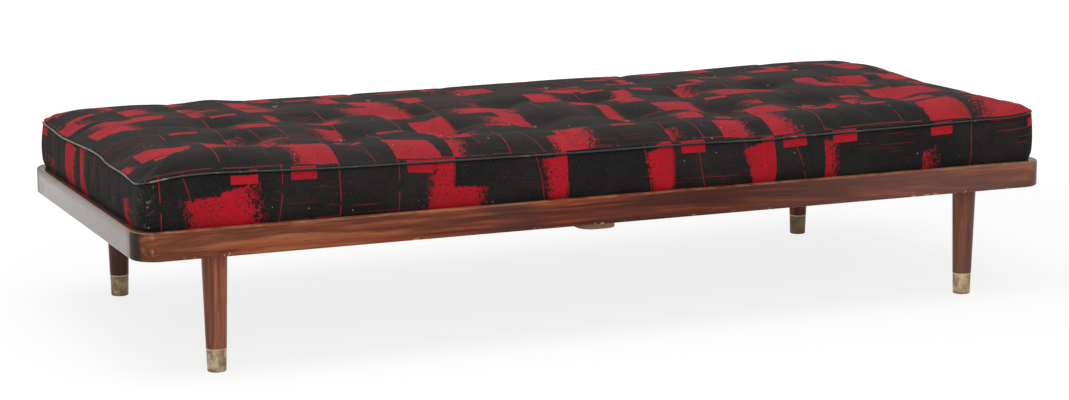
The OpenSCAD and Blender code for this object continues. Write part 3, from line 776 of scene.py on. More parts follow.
def printed_cloth():
    """Black cloth with a broken check printed on it in red: blocks with dry, speckled ends,
    short bars, and a thin check that comes and goes. It reads the cloth's own flat places."""
    f = Finish("printed_cloth")
    flat = f.cloth_place()
    sway = f.noise(flat, 3.4, 2.0, 0.5, "Color")
    drawn = f.shift(flat, sway, (0.03, 0.03, 0.0))
    u, v, _ = f.parts(drawn)
    tread_u, tread_v, _ = f.parts(flat)

    # One row starts just below the tray's top.
    cell_u, cell_v = 0.118, 0.096
    down = (v + (RIM_Y + BAND_HEAD - TRAY_TOP + 0.002)) / cell_v - 5
    row = math.floor(down)
    over = f.chance(f.point(row, 7.0, 3.0))
    across = u / cell_u + over * 0.45
    column = math.floor(across)
    a = across - column
    b = down - row
    dice = [f.chance(f.point(column, row, turn), "Color") for turn in (1.5, 4.5, 9.5)]
    (lot, wide, tall), (side, bar, dry), (line, rung, tick) = (f.parts(d) for d in dice)

    # Speckle: short upright flecks, as where a dry roller missed the threads.
    fleck = f.streaks(flat, (520.0, 210.0, 1.0), 2.0, 0.65)
    coarse = f.streaks(flat, (130.0, 80.0, 1.0), 3.0, 0.6)
    speckle = fleck * 0.62 + coarse * 0.38

    # A block fills part of its cell, from one side, with one dry end.
    turned = side > 0.5
    from_side = a + turned * (1 - a - a)
    reach = f.span(wide, 0.0, 1.0, 0.3, 0.88)
    height = f.span(tall, 0.0, 1.0, 0.42, 1.0)
    slope = (dry - 0.5) * 0.9
    bow = (tick - 0.5) * 0.5
    ends = (reach - from_side + (b - 0.5) * bow) * cell_u
    tops = (height - b + (from_side - 0.4) * slope) * cell_v
    dryness = f.span(dry, 0.0, 1.0, 0.006, 0.07)
    cover = f.span(ends, 0.0, dryness, 0.4, 0.6)
    solid = (cover > speckle) * (ends > 0) * (tops > (speckle - 0.5) * 0.03)
    missed = (fleck > 0.585) * (f.noise(flat, 14.0, 2.0, 0.5) > 0.5)
    solid = solid * (1 - missed)
    block = solid * (lot < 0.64)

    # A short bar lies low in some cells.
    bars = (abs(b - 0.86) < 0.085) * (abs(a - 0.4) < 0.23) * (speckle < 0.6) * (bar < 0.3)

    # The thin check runs along some sides of the cells.
    thin = 0.0003 + coarse * 0.0007
    upright = (abs(a - 0.02) * cell_u < thin) * (line > 0.3)
    level = (abs(b - 0.02) * cell_v < thin * 0.85) * (rung > 0.42)
    slant = (abs(a - 0.62 + b * (tick - 0.5) * 0.5) * cell_u < thin * 0.8) * (tick > 0.62)
    faint = f.noise(flat, 19.0, 2.0, 0.5)
    check = upright.most(level).most(slant) * (faint > 0.4) * (fleck < 0.66)

    # Faint strokes, as of an almost dry roller, lie along the cloth.
    stroke = f.streaks(flat, (7.0, 420.0, 1.0), 3.0, 0.55)
    patch = f.streaks(flat, (4.0, 9.0, 1.0), 2.0, 0.5)
    strokes = f.ease(stroke, 0.6, 0.66) * f.ease(patch, 0.5, 0.62) * 0.55

    ink = block.most(bars).most(check).most(strokes)
    worn = f.noise(flat, 6.0, 4.0, 0.65)
    red = f.blend(f.ease(worn, 0.35, 0.7), RED, (RED[0] * 0.82, RED[1] * 0.9, RED[2] * 0.9))
    ground = f.blend(f.ease(worn, 0.4, 0.75), BLACK, (0.021, 0.019, 0.018))
    mottle = f.streaks(flat, (460.0, 380.0, 1.0), 2.0, 0.7)
    ground = f.blend(f.ease(mottle, 0.5, 0.72) * 0.55, ground, (0.042, 0.039, 0.037))
    ground = f.blend(f.fade(mottle, 0.3, 0.48) * 0.5, ground, (0.005, 0.0048, 0.0048))
    red = f.blend(f.fade(mottle, 0.32, 0.5) * 0.3, red, (0.24, 0.006, 0.012))
    # On the top, a painted sheen dulls the red and lifts the black.
    painted_top_sheen = f.ease(tread_v, -RIM_Y - 0.004, -RIM_Y + 0.02)
    red = f.blend(painted_top_sheen * 0.28, red, (0.17, 0.04, 0.045))
    ground = f.blend(painted_top_sheen * 0.12, ground, (0.03, 0.027, 0.025))
    cloth = f.blend(ink * 0.97, ground, red)

    # Threads: the weave itself, some lighter threads and loose lint.
    warp = (tread_u * (TURN / WARP_PITCH)).sine()
    weft = (tread_v * (TURN / WEFT_PITCH)).sine()
    threads = f.streaks(flat, (1300.0, 90.0, 1.0), 1.0, 0.5)
    cloth = f.blend(f.ease(threads, 0.5, 0.85) * 0.18, cloth, (0.12, 0.105, 0.1))
    scattered = f.stretch(drawn, (58.0, 38.0, 1.0))
    lot, size, _ = f.parts(f.cells(scattered, 1.0, "Color"))
    lint = (f.cells(scattered, 1.0) < 0.018 + size * 0.06) * (lot > 0.5)
    cloth = f.blend(lint * 0.7, cloth, (0.46, 0.44, 0.4))

    # The near left corner is rubbed down to its pale threads.
    off = abs(tread_u + FRONT_CORNER)
    below = f.fade(tread_v, -RIM_Y - 0.006, -RIM_Y)
    rubbed = f.fade(off, 0.004, 0.026) * f.ease(speckle + worn * 0.3, 0.72, 0.8) * below
    cloth = f.blend(rubbed * 0.6, cloth, (0.3, 0.28, 0.255))

    height = warp * weft * 0.5 + fleck * 0.6 + ink * 0.1
    normal = f.relief(height, 0.0003)
    return f.surface(cloth, 0.78 + worn * 0.12, Normal=normal, Specular_IOR_Level=0.06,
                     Sheen_Weight=0.036, Sheen_Roughness=0.45, Sheen_Tint=(1.0, 0.94, 0.9))


def welt_vinyl():
    """Dark grey leathercloth piping with fine grain, rubbed to beige at its left end."""
    f = Finish("welt_leathercloth")
    place = f.place()
    x = f.parts(place)[0]
    grain = f.cells(place, 1300.0)
    wear = f.noise(place, 26.0, 5.0, 0.7)
    left = f.fade(x, -0.99, -0.8)
    worn = f.ease(wear + left * 0.16, 0.6, 0.7)
    clouds = f.ease(f.noise(place, 7.0, 3.0, 0.6), 0.4, 0.7)
    skin = f.blend(clouds, (0.015, 0.0165, 0.016), (0.031, 0.034, 0.032))
    skin = f.blend(worn * 0.6, skin, (0.25, 0.23, 0.19))
    cracks = f.ease(f.streaks(place, (300.0, 300.0, 90.0), 3.0, 0.6), 0.6, 0.68)
    skin = f.blend(cracks * 0.4, skin, (0.012, 0.011, 0.011))
    normal = f.relief(grain * 0.4 - cracks * 0.5, 0.0001)
    return f.surface(skin, 0.42 + worn * 0.3, Normal=normal, Specular_IOR_Level=0.35)


def plain_weave(name, light, dark, pitch):
    """Plain undyed cloth, woven over and under, with slubs and soft stains."""
    f = Finish(name)
    flat = f.cloth_place()
    u, v, _ = f.parts(flat)
    warp = (u * (TURN / pitch)).sine()
    weft = (v * (TURN / pitch)).sine()
    weave = warp * weft * 0.5 + 0.5
    slub = f.streaks(flat, (60.0, 900.0, 1.0), 3.0, 0.6)
    stain = f.noise(flat, 4.0, 5.0, 0.6)
    cloth = f.blend(weave, dark, light)
    cloth = f.blend(f.ease(slub, 0.52, 0.75) * 0.4, cloth, tuple(min(1.0, c * 1.35) for c in light))
    cloth = f.blend(f.ease(stain, 0.5, 0.75) * 0.35, cloth, tuple(c * 0.7 for c in dark))
    normal = f.relief(weave * 0.6 + slub * 0.5, 0.00035)
    return f.surface(cloth, 0.88 + stain * 0.08, Normal=normal, Sheen_Weight=0.1, Sheen_Roughness=0.5)


def horsehair_filling():
    """Curled fibre in clumps, pale and tan."""
    f = Finish("filling_fibre")
    place = f.place()
    curl = f.shift(place, f.noise(place, 60.0, 2.0, 0.5, "Color"), (0.02, 0.02, 0.02))
    strands = f.streaks(curl, (240.0, 700.0, 700.0), 3.0, 0.7)
    clumps = f.noise(place, 30.0, 4.0, 0.6)
    fibre = f.ramp(strands * 0.6 + clumps * 0.4, (0.35, (0.33, 0.27, 0.18)), (0.5, (0.62, 0.545, 0.4)),
                   (0.66, (0.8, 0.74, 0.6)))
    normal = f.relief(strands + clumps * 0.8, 0.0012)
    return f.surface(fibre, 0.92, Normal=normal)


def waxed_thread():
    """Grey brown thread with a twist."""
    f = Finish("waxed_thread")
    place = f.place()
    twist = f.streaks(place, (1500.0, 1500.0, 900.0), 2.0, 0.6)
    tone = f.blend(f.ease(twist, 0.4, 0.65), (0.15, 0.135, 0.115), (0.36, 0.335, 0.295))
    return f.surface(tone, 0.62, Normal=f.relief(twist, 0.0001))


# The mattress

def valley(across, along, least, most):
    """A soft valley round across = 0 that runs along from least to most and fades at its ends."""
    ends = ease_between(along, least - 0.1, least) * (1 - ease_between(along, most, most + 0.1))
    return np.exp(-(across / VALLEY_REACH) ** 2) * ends


def tuft_depth(points):
    """How far the tufts, and the valleys drawn between them, take the top in at each point."""
    x, y = points[:, 0], points[:, 1]
    rng = np.random.default_rng(21)
    depth = np.zeros(len(points))
    for row, dip in zip(TUFT_ROWS, TUFT_DIPS):
        for column in TUFT_COLUMNS:
            gap2 = (x - column) ** 2 + (y - row) ** 2
            reach = TUFT_REACH * rng.uniform(0.85, 1.15)
            depth += dip * rng.uniform(0.75, 1.15) * np.exp(-gap2 / reach ** 2)
        sway = 0.012 * np.sin(x * 17 + row * 9) + 0.006 * np.sin(x * 41 + row * 23)
        share = dip / TUFT_DIPS[0]
        depth += ROW_VALLEY * share * valley(y - row + sway, x, TUFT_COLUMNS[0], TUFT_COLUMNS[-1])
    for column in TUFT_COLUMNS:
        sway = 0.01 * np.sin(y * 19 + column * 11)
        depth += COLUMN_VALLEY * valley(x - column + sway, y, TUFT_ROWS[0], TUFT_ROWS[-1] - 0.08)
    return depth


def top_grid():
    """The top cloth's points before it is filled, and their places on the flat cloth."""
    half_x, half_y = RIM_X + TOP_RIM_OUT, RIM_Y + TOP_RIM_OUT
    across, deep = 197, 83
    plan = rounded_plan(half_x, half_y, MATTRESS_CORNER + TOP_RIM_OUT, across, deep)
    x, y = plan[:, 0], plan[:, 1]
    distance, wave, outward = nearest_rim(plan)
    # The rolled edge is narrower towards the far right corner.
    roll_width = ROLL_WIDTH - 0.022 * ease_between(x, 0.86, 0.97) * ease_between(y, -0.2, 0.3)
    roll = 1 - np.clip(1 - distance / roll_width, 0, 1) ** 2.3
    from_middle = np.minimum(1 - np.abs(y) / half_y, (1 - np.abs(x) / half_x) * 2.2)
    hump = np.sin(np.clip(from_middle, 0, 1) * math.pi / 2) ** 0.8
    height = TOP_WELT_HEIGHT + 0.0012 + ROLL_HEIGHT * roll + CROWN * hump
    height += wave * np.exp(-(distance / 0.13) ** 1.5)
    height += np.interp(x, *zip(*PACKING)) * roll
    for middle_x, middle_y, rise, along, over in PILLOWS:
        off = ((x - middle_x) / along) ** 2 + ((y - middle_y) / over) ** 2
        height += rise * np.exp(-off) * (1 - np.exp(-distance / 0.005))
    # A shallow furrow lies between the rolled edge and the first pillows.
    height -= 0.003 * np.exp(-((distance - 0.098) / 0.022) ** 2)
    height -= tuft_depth(plan)
    # Near the rim the cloth bulges out over the welt, most of all at the right end.
    bulge = 0.0012 + 0.0055 * ease_between(x, 0.9, 0.97) + 0.002 * ease_between(-x, 0.9, 0.97)
    bulge *= np.sin(np.clip(distance / 0.05, 0, 1) * math.pi) ** 0.8
    spread = plan + outward * bulge[:, None]
    points = np.column_stack([spread, height]).reshape(deep, across, 3)
    return points, plan.reshape(deep, across, 2), distance.reshape(deep, across)


def fill_out(piece, held, rise, pressure, slack, frames=22):
    """Lets the filling push a cloth out between the points that hold it.

    Held gives each point's hold from 0 to 1, and rise the most that each may move."""
    start = points_of(piece.data)
    group = piece.vertex_groups.new(name="held")
    for index in np.flatnonzero(held > 0.01):
        group.add([int(index)], float(held[index]), "REPLACE")
    cloth = piece.modifiers.new("cloth", "CLOTH")
    settings = cloth.settings
    settings.quality = 6
    settings.mass = 0.25
    settings.tension_stiffness = 18
    settings.compression_stiffness = 18
    settings.shear_stiffness = 8
    settings.bending_stiffness = 0.35
    settings.vertex_group_mass = "held"
    settings.shrink_min = -slack
    settings.use_pressure = True
    settings.uniform_pressure_force = pressure
    settings.effector_weights.gravity = 0
    cloth.point_cache.frame_start = 1
    cloth.point_cache.frame_end = frames
    for number in range(1, frames + 1):
        scene.frame_set(number)
    depsgraph = bpy.context.evaluated_depsgraph_get()
    moved = points_of(piece.evaluated_get(depsgraph).data)
    piece.modifiers.remove(cloth)
    piece.vertex_groups.remove(group)
    scene.frame_set(1)
    step = moved - start
    length = np.linalg.norm(step, axis=1)
    capped = rise * np.tanh(length / np.maximum(rise, 1e-9))
    step *= (capped / np.maximum(length, 1e-12))[:, None]
    piece.data.vertices.foreach_set("co", (start + step).ravel())
    piece.data.update()


def make_top(material):
    """The tufted top: a padded cloth, drawn in at the tufts, closed underneath."""
    points, plan, distance = top_grid()
    piece = sheet_piece("tufted_top", points, plan, False, material)
    flat_points = points.reshape(-1, 3)
    held = np.zeros(len(flat_points))
    held[(distance < 0.0045).ravel()] = 1.0
    edge = np.zeros(distance.shape, bool)
    edge[[0, -1], :] = True
    edge[:, [0, -1]] = True
    held[edge.ravel()] = 1.0
    for column, row in TUFTS:
        gap = np.hypot(flat_points[:, 0] - column, flat_points[:, 1] - row)
        held[gap < TUFT_HOLD] = 1.0
    drawn = tuft_depth(flat_points)
    held = np.maximum(held, np.clip(drawn / TUFT_DIPS[0], 0, 1) * 0.3)
    rise = np.clip(distance.ravel() / 0.03, 0.05, 1.0) * TOP_RISE
    rise *= 1 - 0.45 * ease_between(flat_points[:, 1], 0.06, 0.18)
    fill_out(piece, held, rise, pressure=1.5, slack=0.022)
    close_below(settle(piece, smooth=True))
    return piece


def drawn_out(bm, edges):
    """Draws faces out from open edges. Returns their new corners, and the edges that are open now."""
    made = bmesh.ops.extrude_edge_only(bm, edges=edges)["geom"]
    corners = [part for part in made if isinstance(part, bmesh.types.BMVert)]
    return corners, [part for part in made if isinstance(part, bmesh.types.BMEdge) and part.is_boundary]


def close_below(piece):
    """Closes the top's open rim with a low wall and a flat underside."""
    bm = bmesh.new()
    bm.from_mesh(piece.data)
    corners, rim = drawn_out(bm, [edge for edge in bm.edges if edge.is_boundary])
    for vert in corners:
        vert.co.z -= HEM
    corners, rim = drawn_out(bm, rim)
    for vert in corners:
        vert.co.x *= 1 - 0.06 / abs(vert.co.x) if abs(vert.co.x) > 0.2 else 1
        vert.co.y *= 1 - 0.06 / abs(vert.co.y) if abs(vert.co.y) > 0.1 else 1
        vert.co.z = TOP_WELT_HEIGHT - HEM
    bmesh.ops.contextual_create(bm, geom=rim)
    bmesh.ops.triangulate(bm, faces=[face for face in bm.faces if len(face.verts) > 4])
    bm.normal_update()
    write_mesh(bm, piece.data)


def side_out(height):
    """How far the mattress's side stands out at a height. It swells over the tray's edge."""
    share = np.clip((height - LEAN_START) / (BAND_HEAD - LEAN_START), 0, 1)
    over_tray = 1 - np.exp(-np.clip(height - LEAN_START, 0, 1) / 0.01)
    return SIDE_LEAN * share + SIDE_SWELL * (0.75 * np.sin(share * math.pi) + over_tray * (1 - share))


def ripple(ways, seed, longest, shortest):
    """A smooth closed wave round the rim, mostly between minus 1 and 1, made of many lengths."""
    rng = np.random.default_rng(seed)
    total = np.zeros_like(ways)
    least, most = int(RIM_LENGTH / longest), int(RIM_LENGTH / shortest)
    for turns in range(max(1, least), most):
        size = rng.normal() / math.sqrt(most - least)
        total += size * np.sin(ways * (TURN * turns / RIM_LENGTH) + rng.uniform(0, TURN))
    return total


def make_band(material):
    """The upright cloth round the sides, filled out between its two seams."""
    columns, rows = 560, 12
    every = RIM_STEPS // columns
    ways = RIM_WAYS[::every]
    levels = np.linspace(BAND_FOOT, BAND_HEAD, rows)
    share = (levels - BAND_FOOT) / (BAND_HEAD - BAND_FOOT)
    hug = ripple(ways, 3, 0.5, 0.06)
    crease = ripple(ways, 8, 0.09, 0.03)
    corner_gap = np.min([np.abs(ways - way) for way in CORNER_WAYS], axis=0)
    tightness = np.exp(-(corner_gap / 0.028) ** 2)
    points = np.empty((rows, columns, 3))
    places = np.empty((rows, columns + 1, 2))
    for index, (level, up) in enumerate(zip(levels, share)):
        free = math.sin(up * math.pi) * (level > TRAY_TOP)
        above_tray = ease_between(level, TRAY_TOP - 0.003, TRAY_TOP + 0.01)
        loose = hug * 0.0008 * free + crease * 0.0002 * free
        loose = loose + tightness * 0.0045 * above_tray * (1 - up * 0.5)
        points[index] = ring(side_out(level) - 0.001 * free, level, up, every)
        points[index, :, :2] += RIM_OUTWARD[::every] * loose[:, None]
        places[index, :-1, 0] = ways
        places[index, -1, 0] = ways[0] + RIM_LENGTH
        places[index, :, 1] = -RIM_Y - (BAND_HEAD - level)
    piece = sheet_piece("mattress_band", points, places, True, material)
    flat = points.reshape(-1, 3)
    held = np.zeros((rows, columns))
    held[[0, -1]] = 1.0
    held[1] = 0.6
    rise = np.where(flat[:, 2] > TRAY_TOP + 0.004, BAND_RISE, TRAY_RISE)
    fill_out(piece, held.ravel(), rise, pressure=2.0, slack=0.007, frames=16)
    return settle(piece, smooth=True, wall=BAND_THICK)


def make_filling(material):
    """The filling under the cloth. It keeps its hollows where the tufts press into it."""
    half_x, half_y = RIM_X - 0.004, RIM_Y - 0.004
    across, deep = 99, 42
    plan = rounded_plan(half_x, half_y, MATTRESS_CORNER, across, deep)
    _, wave, _ = nearest_rim(plan)
    upper = BAND_HEAD - 0.0045 + np.minimum(wave, 0) * 1.2 - tuft_depth(plan) * 0.2
    lower = np.full(len(plan), DECK + 0.0036)
    bm = bmesh.new()
    above, below = [[bm.verts.new(p) for p in np.column_stack([plan, level])] for level in (upper, lower)]
    for r in range(deep - 1):
        for c in range(across - 1):
            k = r * across + c
            bm.faces.new([above[k], above[k + 1], above[k + across + 1], above[k + across]])
            bm.faces.new([below[k], below[k + across], below[k + across + 1], below[k + 1]])
    bm.edges.ensure_lookup_table()
    bmesh.ops.bridge_loops(bm, edges=[edge for edge in bm.edges if edge.is_boundary])
    upright = [edge for edge in bm.edges if abs(edge.verts[0].co.z - edge.verts[1].co.z) > 0.05]
    bmesh.ops.subdivide_edges(bm, edges=upright, cuts=5, use_grid_fill=True)
    for vert in bm.verts:
        if DECK + 0.01 < vert.co.z < BAND_HEAD - 0.012:
            flat = Vector((vert.co.x / half_x, vert.co.y / half_y))
            grow = float(side_out(vert.co.z)) * 0.6
            if abs(flat.x) > abs(flat.y) * 0.999:
                vert.co.x += math.copysign(grow, vert.co.x)
            if abs(flat.y) > abs(flat.x) * 0.999:
                vert.co.y += math.copysign(grow, vert.co.y)
    bmesh.ops.recalc_face_normals(bm, faces=bm.faces)
    mesh = bpy.data.meshes.new("mattress_filling")
    write_mesh(bm, mesh)
    mesh.materials.append(material)
    return linked("mattress_filling", mesh)


def make_bottom(material):
    """The plain cloth underneath, with a small hollow where each tuft's thread is drawn through."""
    low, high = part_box("mattress_bottom")
    across, deep = 195, 80
    plan = rounded_plan(high.x, high.y, 0.024, across, deep)
    x, y = plan[:, 0], plan[:, 1]
    rng = np.random.default_rng(5)
    rise = 0.0002 + 0.00025 * (1 + np.sin(x * 31 + 2 * np.sin(y * 9)))
    for column, row in TUFTS:
        gap2 = (x - column) ** 2 + (y - row) ** 2
        rise += 0.0016 * np.exp(-gap2 / (0.016 + 0.004 * rng.uniform()) ** 2)
    points = np.column_stack([plan, low.z + rise]).reshape(deep, across, 3)[::-1]
    places = plan.reshape(deep, across, 2)[::-1]
    piece = sheet_piece("mattress_underside", points, places, False, material)
    return settle(piece, wall=UNDERSIDE_THICK)


def ring_line(name, points):
    """A closed line through points, for a recipe to follow."""
    curve = bpy.data.curves.new(name, "CURVE")
    curve.dimensions = "3D"
    spline = curve.splines.new("POLY")
    spline.points.add(len(points) - 1)
    spline.points.foreach_set("co", np.column_stack([points, np.ones(len(points))]).ravel())
    spline.use_cyclic_u = True
    return linked(name, curve)


def make_welt(name, out, height, wave_share, material):
    """Piping: a cord in a strip of leathercloth, carried round the mattress in a seam."""
    recipe = Recipe(name + "_piping", Thickness=PIPING_THICK, Sides=10)
    radius = recipe.given("Thickness") * 0.5
    recipe.end(recipe.tube(recipe.given(), radius, recipe.given("Sides"), capped=False), material)
    return recipe.make(name, ring_line(name + "_line", ring(out, height, wave_share, 4)))


def points_carrier(name, places, axes=None):
    """A bare mesh of points for a recipe to set things on."""
    mesh = bpy.data.meshes.new(name)
    mesh.from_pydata([tuple(p) for p in places], [], [])
    if axes is not None:
        layer = mesh.attributes.new("axis", "FLOAT_VECTOR", "POINT")
        layer.data.foreach_set("vector", np.array(axes, float).ravel())
    return linked(name, mesh)


def make_tuft_ties(material, top):
    """A wound knot in every tuft, with two cut ends of thread."""
    points = points_of(top.data)
    places = []
    for column, row in TUFTS:
        gap = np.hypot(points[:, 0] - column, points[:, 1] - row)
        near = (gap < 0.006) & (points[:, 2] > TOP_WELT_HEIGHT)
        places.append((column, row, float(points[near, 2].max()) - 0.0002))
    recipe = Recipe("tuft_tie", Thread=0.0006, Knot=0.0018, Tail=0.0075, Seed=4)
    knot, tail, seed = (recipe.given(label) for label in ("Knot", "Tail", "Seed"))
    coil = recipe.add("GeometryNodeCurveSpiral", None,
                      {"Resolution": 14, "Rotations": 2.5, "Start Radius": knot,
                       "End Radius": knot * 0.55, "Height": knot * 1.2})
    start = recipe.point(z=knot * 0.6)
    ends = []
    for turn in (0.7, 3.4):
        middle = recipe.point(tail * (0.5 * math.cos(turn)), tail * (0.5 * math.sin(turn)), tail * 0.55)
        last = recipe.point(tail * math.cos(turn + 0.5), tail * math.sin(turn + 0.5), tail * 0.3)
        ends.append(recipe.bow(9, start, middle, last))
    tie = recipe.tube(recipe.joined(coil, *ends), recipe.given("Thread"), 6)
    turns = recipe.add("FunctionNodeRandomValue", {"data_type": "FLOAT_VECTOR"},
                       {0: (0.0, 0.0, 0.0), 1: (0.25, 0.25, TURN), "Seed": seed})
    sizes = recipe.add("FunctionNodeRandomValue", {"data_type": "FLOAT"},
                       {2: 0.75, 3: 1.2, "Seed": seed + 1}, out=1)
    recipe.end(recipe.set_out(recipe.given(), tie, turns, Scale=sizes), material)
    return recipe.make("tuft_ties", points_carrier("tuft_places", places))


def make_closing_stitches(material):
    """Slanting hand stitches that close the cover just above its bottom welt."""
    recipe = Recipe("closing_stitch", Pitch=0.0085, Thread=0.00035, Length=0.0062)
    spaced = recipe.add("GeometryNodeResampleCurve", {"mode": "LENGTH"},
                        {"Curve": recipe.given(), "Length": recipe.given("Pitch")})
    heading = recipe.add("GeometryNodeInputTangent")
    turned = recipe.add("FunctionNodeAlignRotationToVector", {"axis": "X", "pivot_axis": "Z"},
                        {"Vector": heading})
    length = recipe.given("Length")
    start = recipe.point(length * -0.5, 0.0, -0.0012)
    last = recipe.point(length * 0.5, 0.0, 0.0012)
    line = recipe.bow(4, start, recipe.point(y=-0.0007), last)
    stitch = recipe.tube(line, recipe.given("Thread"), 5)
    recipe.end(recipe.set_out(spaced, stitch, turned), material)
    carrier = ring_line("stitch_line", ring(0.0004, BAND_FOOT + 0.0022, 0.0, 4))
    return recipe.make("closing_stitches", carrier)


# Screws

def loose_shapes(node):
    """The points of each separate shape in a node."""
    bm = bmesh.new()
    bm.from_mesh(nodes[node].data)
    bmesh.ops.remove_doubles(bm, verts=bm.verts, dist=1e-6)
    left = set(bm.verts)
    shapes = []
    while left:
        found = [left.pop()]
        for vert in found:
            for edge in vert.link_edges:
                other = edge.other_vert(vert)
                if other in left:
                    left.remove(other)
                    found.append(other)
        shapes.append(np.array([v.co for v in found]))
    bm.free()
    return sorted(shapes, key=lambda points: tuple(points.mean(0).round(4)))


def screw_places(node):
    """Each screw's head centre, its outward axis and its length."""
    found = []
    for points in loose_shapes(node):
        size = points.max(0) - points.min(0)
        axis = int(size.argmax())
        middle = (points.max(0) + points.min(0)) / 2
        ends = []
        for limit in (points[:, axis].min(), points[:, axis].max()):
            near = np.abs(points[:, axis] - limit) < 0.0002
            spread = np.delete(points[near] - middle, axis, 1)
            ends.append((np.hypot(*spread.T).max(), limit))
        head = max(ends)[1]
        direction = np.zeros(3)
        direction[axis] = math.copysign(1, head - middle[axis])
        place = middle.copy()
        place[axis] = head
        found.append((place, direction, float(size[axis])))
    return found


def lowered_cone(recipe, top, bottom, depth, drop):
    """A cone that tapers downwards, moved down by drop."""
    values = {"Vertices": 20, "Radius Top": top, "Radius Bottom": bottom, "Depth": depth}
    shape = recipe.add("GeometryNodeMeshCone", None, values)
    move = recipe.point(z=drop * -1.0)
    return recipe.add("GeometryNodeTransform", None, {"Geometry": shape, "Translation": move})


def make_screws(name, node, seed, material):
    """Slotted countersunk wood screws in the places that the solid model gives them."""
    places = screw_places(node)
    length = float(np.median([p[2] for p in places]))
    recipe = Recipe(name + "_recipe", Head=0.007, Shank=0.0035, Length=length, Depth=0.0022,
                    Slot=0.0009, Seed=seed)
    head, slot, depth, whole_length = (recipe.given(label) for label in ("Head", "Slot", "Depth", "Length"))
    shank_r = recipe.given("Shank") * 0.5
    cone = lowered_cone(recipe, head * 0.5 * 0.985, shank_r, depth, depth)
    shank = lowered_cone(recipe, shank_r, shank_r * 0.55, whole_length - depth, whole_length)
    groove = recipe.add("GeometryNodeMeshCube", None, {"Size": recipe.point(head * 1.2, slot, slot * 2.2)})
    slotted = recipe.add("GeometryNodeMeshBoolean", {"operation": "DIFFERENCE", "solver": "EXACT"},
                         {0: cone, 1: groove})
    axis = recipe.add("GeometryNodeInputNamedAttribute", {"data_type": "FLOAT_VECTOR"}, {"Name": "axis"})
    upright = recipe.add("FunctionNodeAlignRotationToVector", {"axis": "Z"}, {"Vector": axis})
    turn = recipe.add("FunctionNodeRandomValue", {"data_type": "FLOAT"},
                      {2: 0.0, 3: math.pi, "Seed": recipe.given("Seed")}, out=1)
    spin = recipe.add("FunctionNodeAxisAngleToRotation", None, {"Axis": (0.0, 0.0, 1.0), "Angle": turn})
    turned = recipe.add("FunctionNodeRotateRotation", {"rotation_space": "LOCAL"}, {0: upright, 1: spin})
    screws = recipe.set_out(recipe.given(), recipe.joined(slotted, shank), turned)
    recipe.end(screws, material, smooth=False)
    carrier = points_carrier(name + "_places", [p[0] for p in places], [p[1] for p in places])
    return recipe.make(name, carrier)


# Putting it together

def finish_node(name, material):
    """Gives a node of the solid model its material."""
    node = nodes[name]
    if not node.material_slots:
        node.data.materials.append(material)
    for place in node.material_slots:
        place.material = material


def add_piece(piece, body, slot, *stands_for, fill=None):
    """Attaches a piece to the body it rides with, and hides the nodes that it stands for. Its slot is not
    used.
    """
    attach(piece, body)
    if stands_for:
        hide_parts(*stands_for)


set_camera()
set_floor()
set_room()
set_lamp("key_lamp", (-1.0, -0.7, 4.4), (-0.4, 0, 0.3), (4.4, 3.4), 132)
set_lamp("front_lamp", (-2.2, -5.8, 3.6), (0, 0, 0.3), (4.0, 3.0), 96)

rail_finish = lacquered_wood("stained_rail", 0, (3.1, 0.4, 0.2), tone_shift=-0.015)
back_finish = lacquered_wood("stained_back_rail", 0, (7.7, 2.4, 1.2))
end_finish = lacquered_wood("stained_end_rail", 1, (1.3, 5.2, 3.1), (0.97, 1.72), -0.2, rubbed=0.1,
                            faded=0.6)
for side, finish in (("front", rail_finish), ("back", back_finish)):
    finish_node(side + "_rail", finish)
    for end in ("left", "right"):
        finish_node(f"corner_{side}_{end}", finish)
for end in ("left", "right"):
    finish_node(end + "_end_rail", end_finish)
# Each leg's tone shift and bloom, set leg by leg as lit and shaded copies of one finish: the back legs are
# darker with painted shade, and the front right is milkier with painted haze.
LEG_SHADE_AND_TONES = {"leg_front_left": (0.108, 0.24), "leg_front_right": (0.012, 0.62),
             "leg_back_left": (-0.1, 0.3), "leg_back_right": (-0.08, 0.1)}
for count, (name, (tone_shift, bloom)) in enumerate(LEG_SHADE_AND_TONES.items()):
    leg_finish = lacquered_wood("stained_" + name, 2, (1.7 * count, 2.3, 0.9 * count), (0.5, 1.35),
                                tone_shift, bloom, 0.0)
    finish_node(name, leg_finish)
brass = aged_brass()
zinc = plated_steel("zinc_plate", (0.62, 0.6, 0.52), (0.3, 0.19, 0.1))
steel = plated_steel("screw_steel", (0.5, 0.5, 0.51), (0.26, 0.15, 0.08))
board_finish = bare_wood("board_wood", 1, (0.5, 1.5, 0.2), (0.36, 0.21, 0.11), (0.2, 0.1, 0.046))
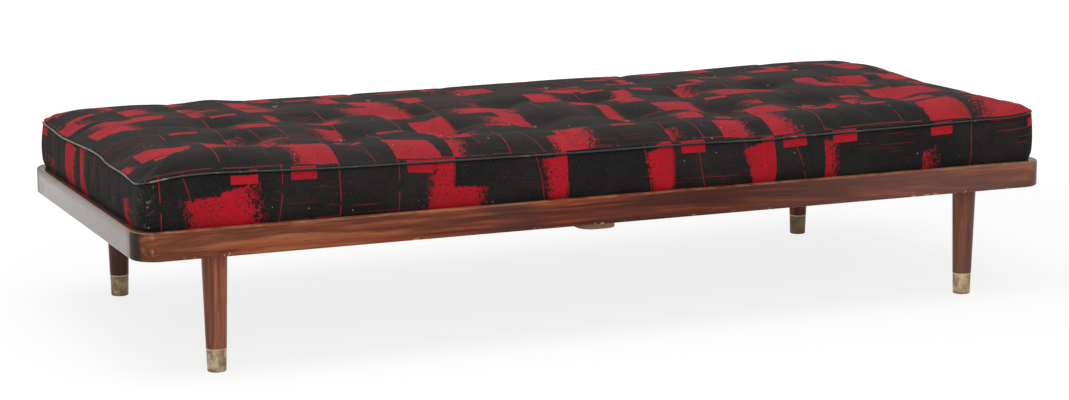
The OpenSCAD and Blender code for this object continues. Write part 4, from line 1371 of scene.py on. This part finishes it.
ledger_finish = bare_wood("ledger_wood", 0, (2.5, 0.3, 0.8), (0.42, 0.26, 0.14), (0.25, 0.14, 0.07))
brace_finish = bare_wood("brace_wood", 1, (4.5, 2.3, 0.1), (0.33, 0.19, 0.088), (0.17, 0.08, 0.034))
slat_finish = bare_wood("slat_wood", 1, (1.9, 0.7, 0.4), (0.6, 0.44, 0.27), (0.42, 0.28, 0.15))
for name in nodes:
    if name.startswith("ferrule"):
        finish_node(name, brass)
    elif name in ("leg_bolts", "leg_inserts"):
        finish_node(name, zinc)
    elif name.endswith("leg_board"):
        finish_node(name, board_finish)
    elif name.endswith("ledger"):
        finish_node(name, ledger_finish)
    elif name == "middle_brace":
        finish_node(name, brace_finish)
    elif name.startswith(("slat_0", "slat_1")) or name.endswith("end_slat"):
        finish_node(name, slat_finish)

cover = printed_cloth()
leathercloth = welt_vinyl()
ticking = plain_weave("underside_weave", (0.34, 0.305, 0.245), (0.2, 0.175, 0.135), 0.0016)
fibre = horsehair_filling()
thread = waxed_thread()

top = make_top(cover)
add_piece(top, "mattress", "cover_cloth", "mattress_top", fill=0.7)
band = make_band(cover)
add_piece(band, "mattress", "cover_cloth", "mattress_border", fill=0.7)
filling = make_filling(fibre)
add_piece(filling, "mattress", "filling", "mattress_core", fill=0.8)
underside = make_bottom(ticking)
add_piece(underside, "mattress", "underside_cloth", "mattress_bottom", fill=0.3)
upper_welt = make_welt("piping_top", TOP_WELT_OUT, TOP_WELT_HEIGHT, 1.0, leathercloth)
add_piece(upper_welt, "mattress", "welt", "top_welt")
lower_welt = make_welt("piping_bottom", BOTTOM_WELT_OUT, BOTTOM_WELT_HEIGHT, 0.0, leathercloth)
add_piece(lower_welt, "mattress", "welt", "bottom_welt")
ties = make_tuft_ties(thread, top)
add_piece(ties, "mattress", "thread", "tuft_knots")
stitches = make_closing_stitches(thread)
add_piece(stitches, "mattress", "thread")
for name, node, seed in (("deck_screws", "slat_screws", 11), ("strip_screws", "ledger_screws", 12),
                         ("cross_screws", "brace_screws", 13)):
    screws = make_screws(name, node, seed, steel)
    add_piece(screws, "frame", "steel", node)
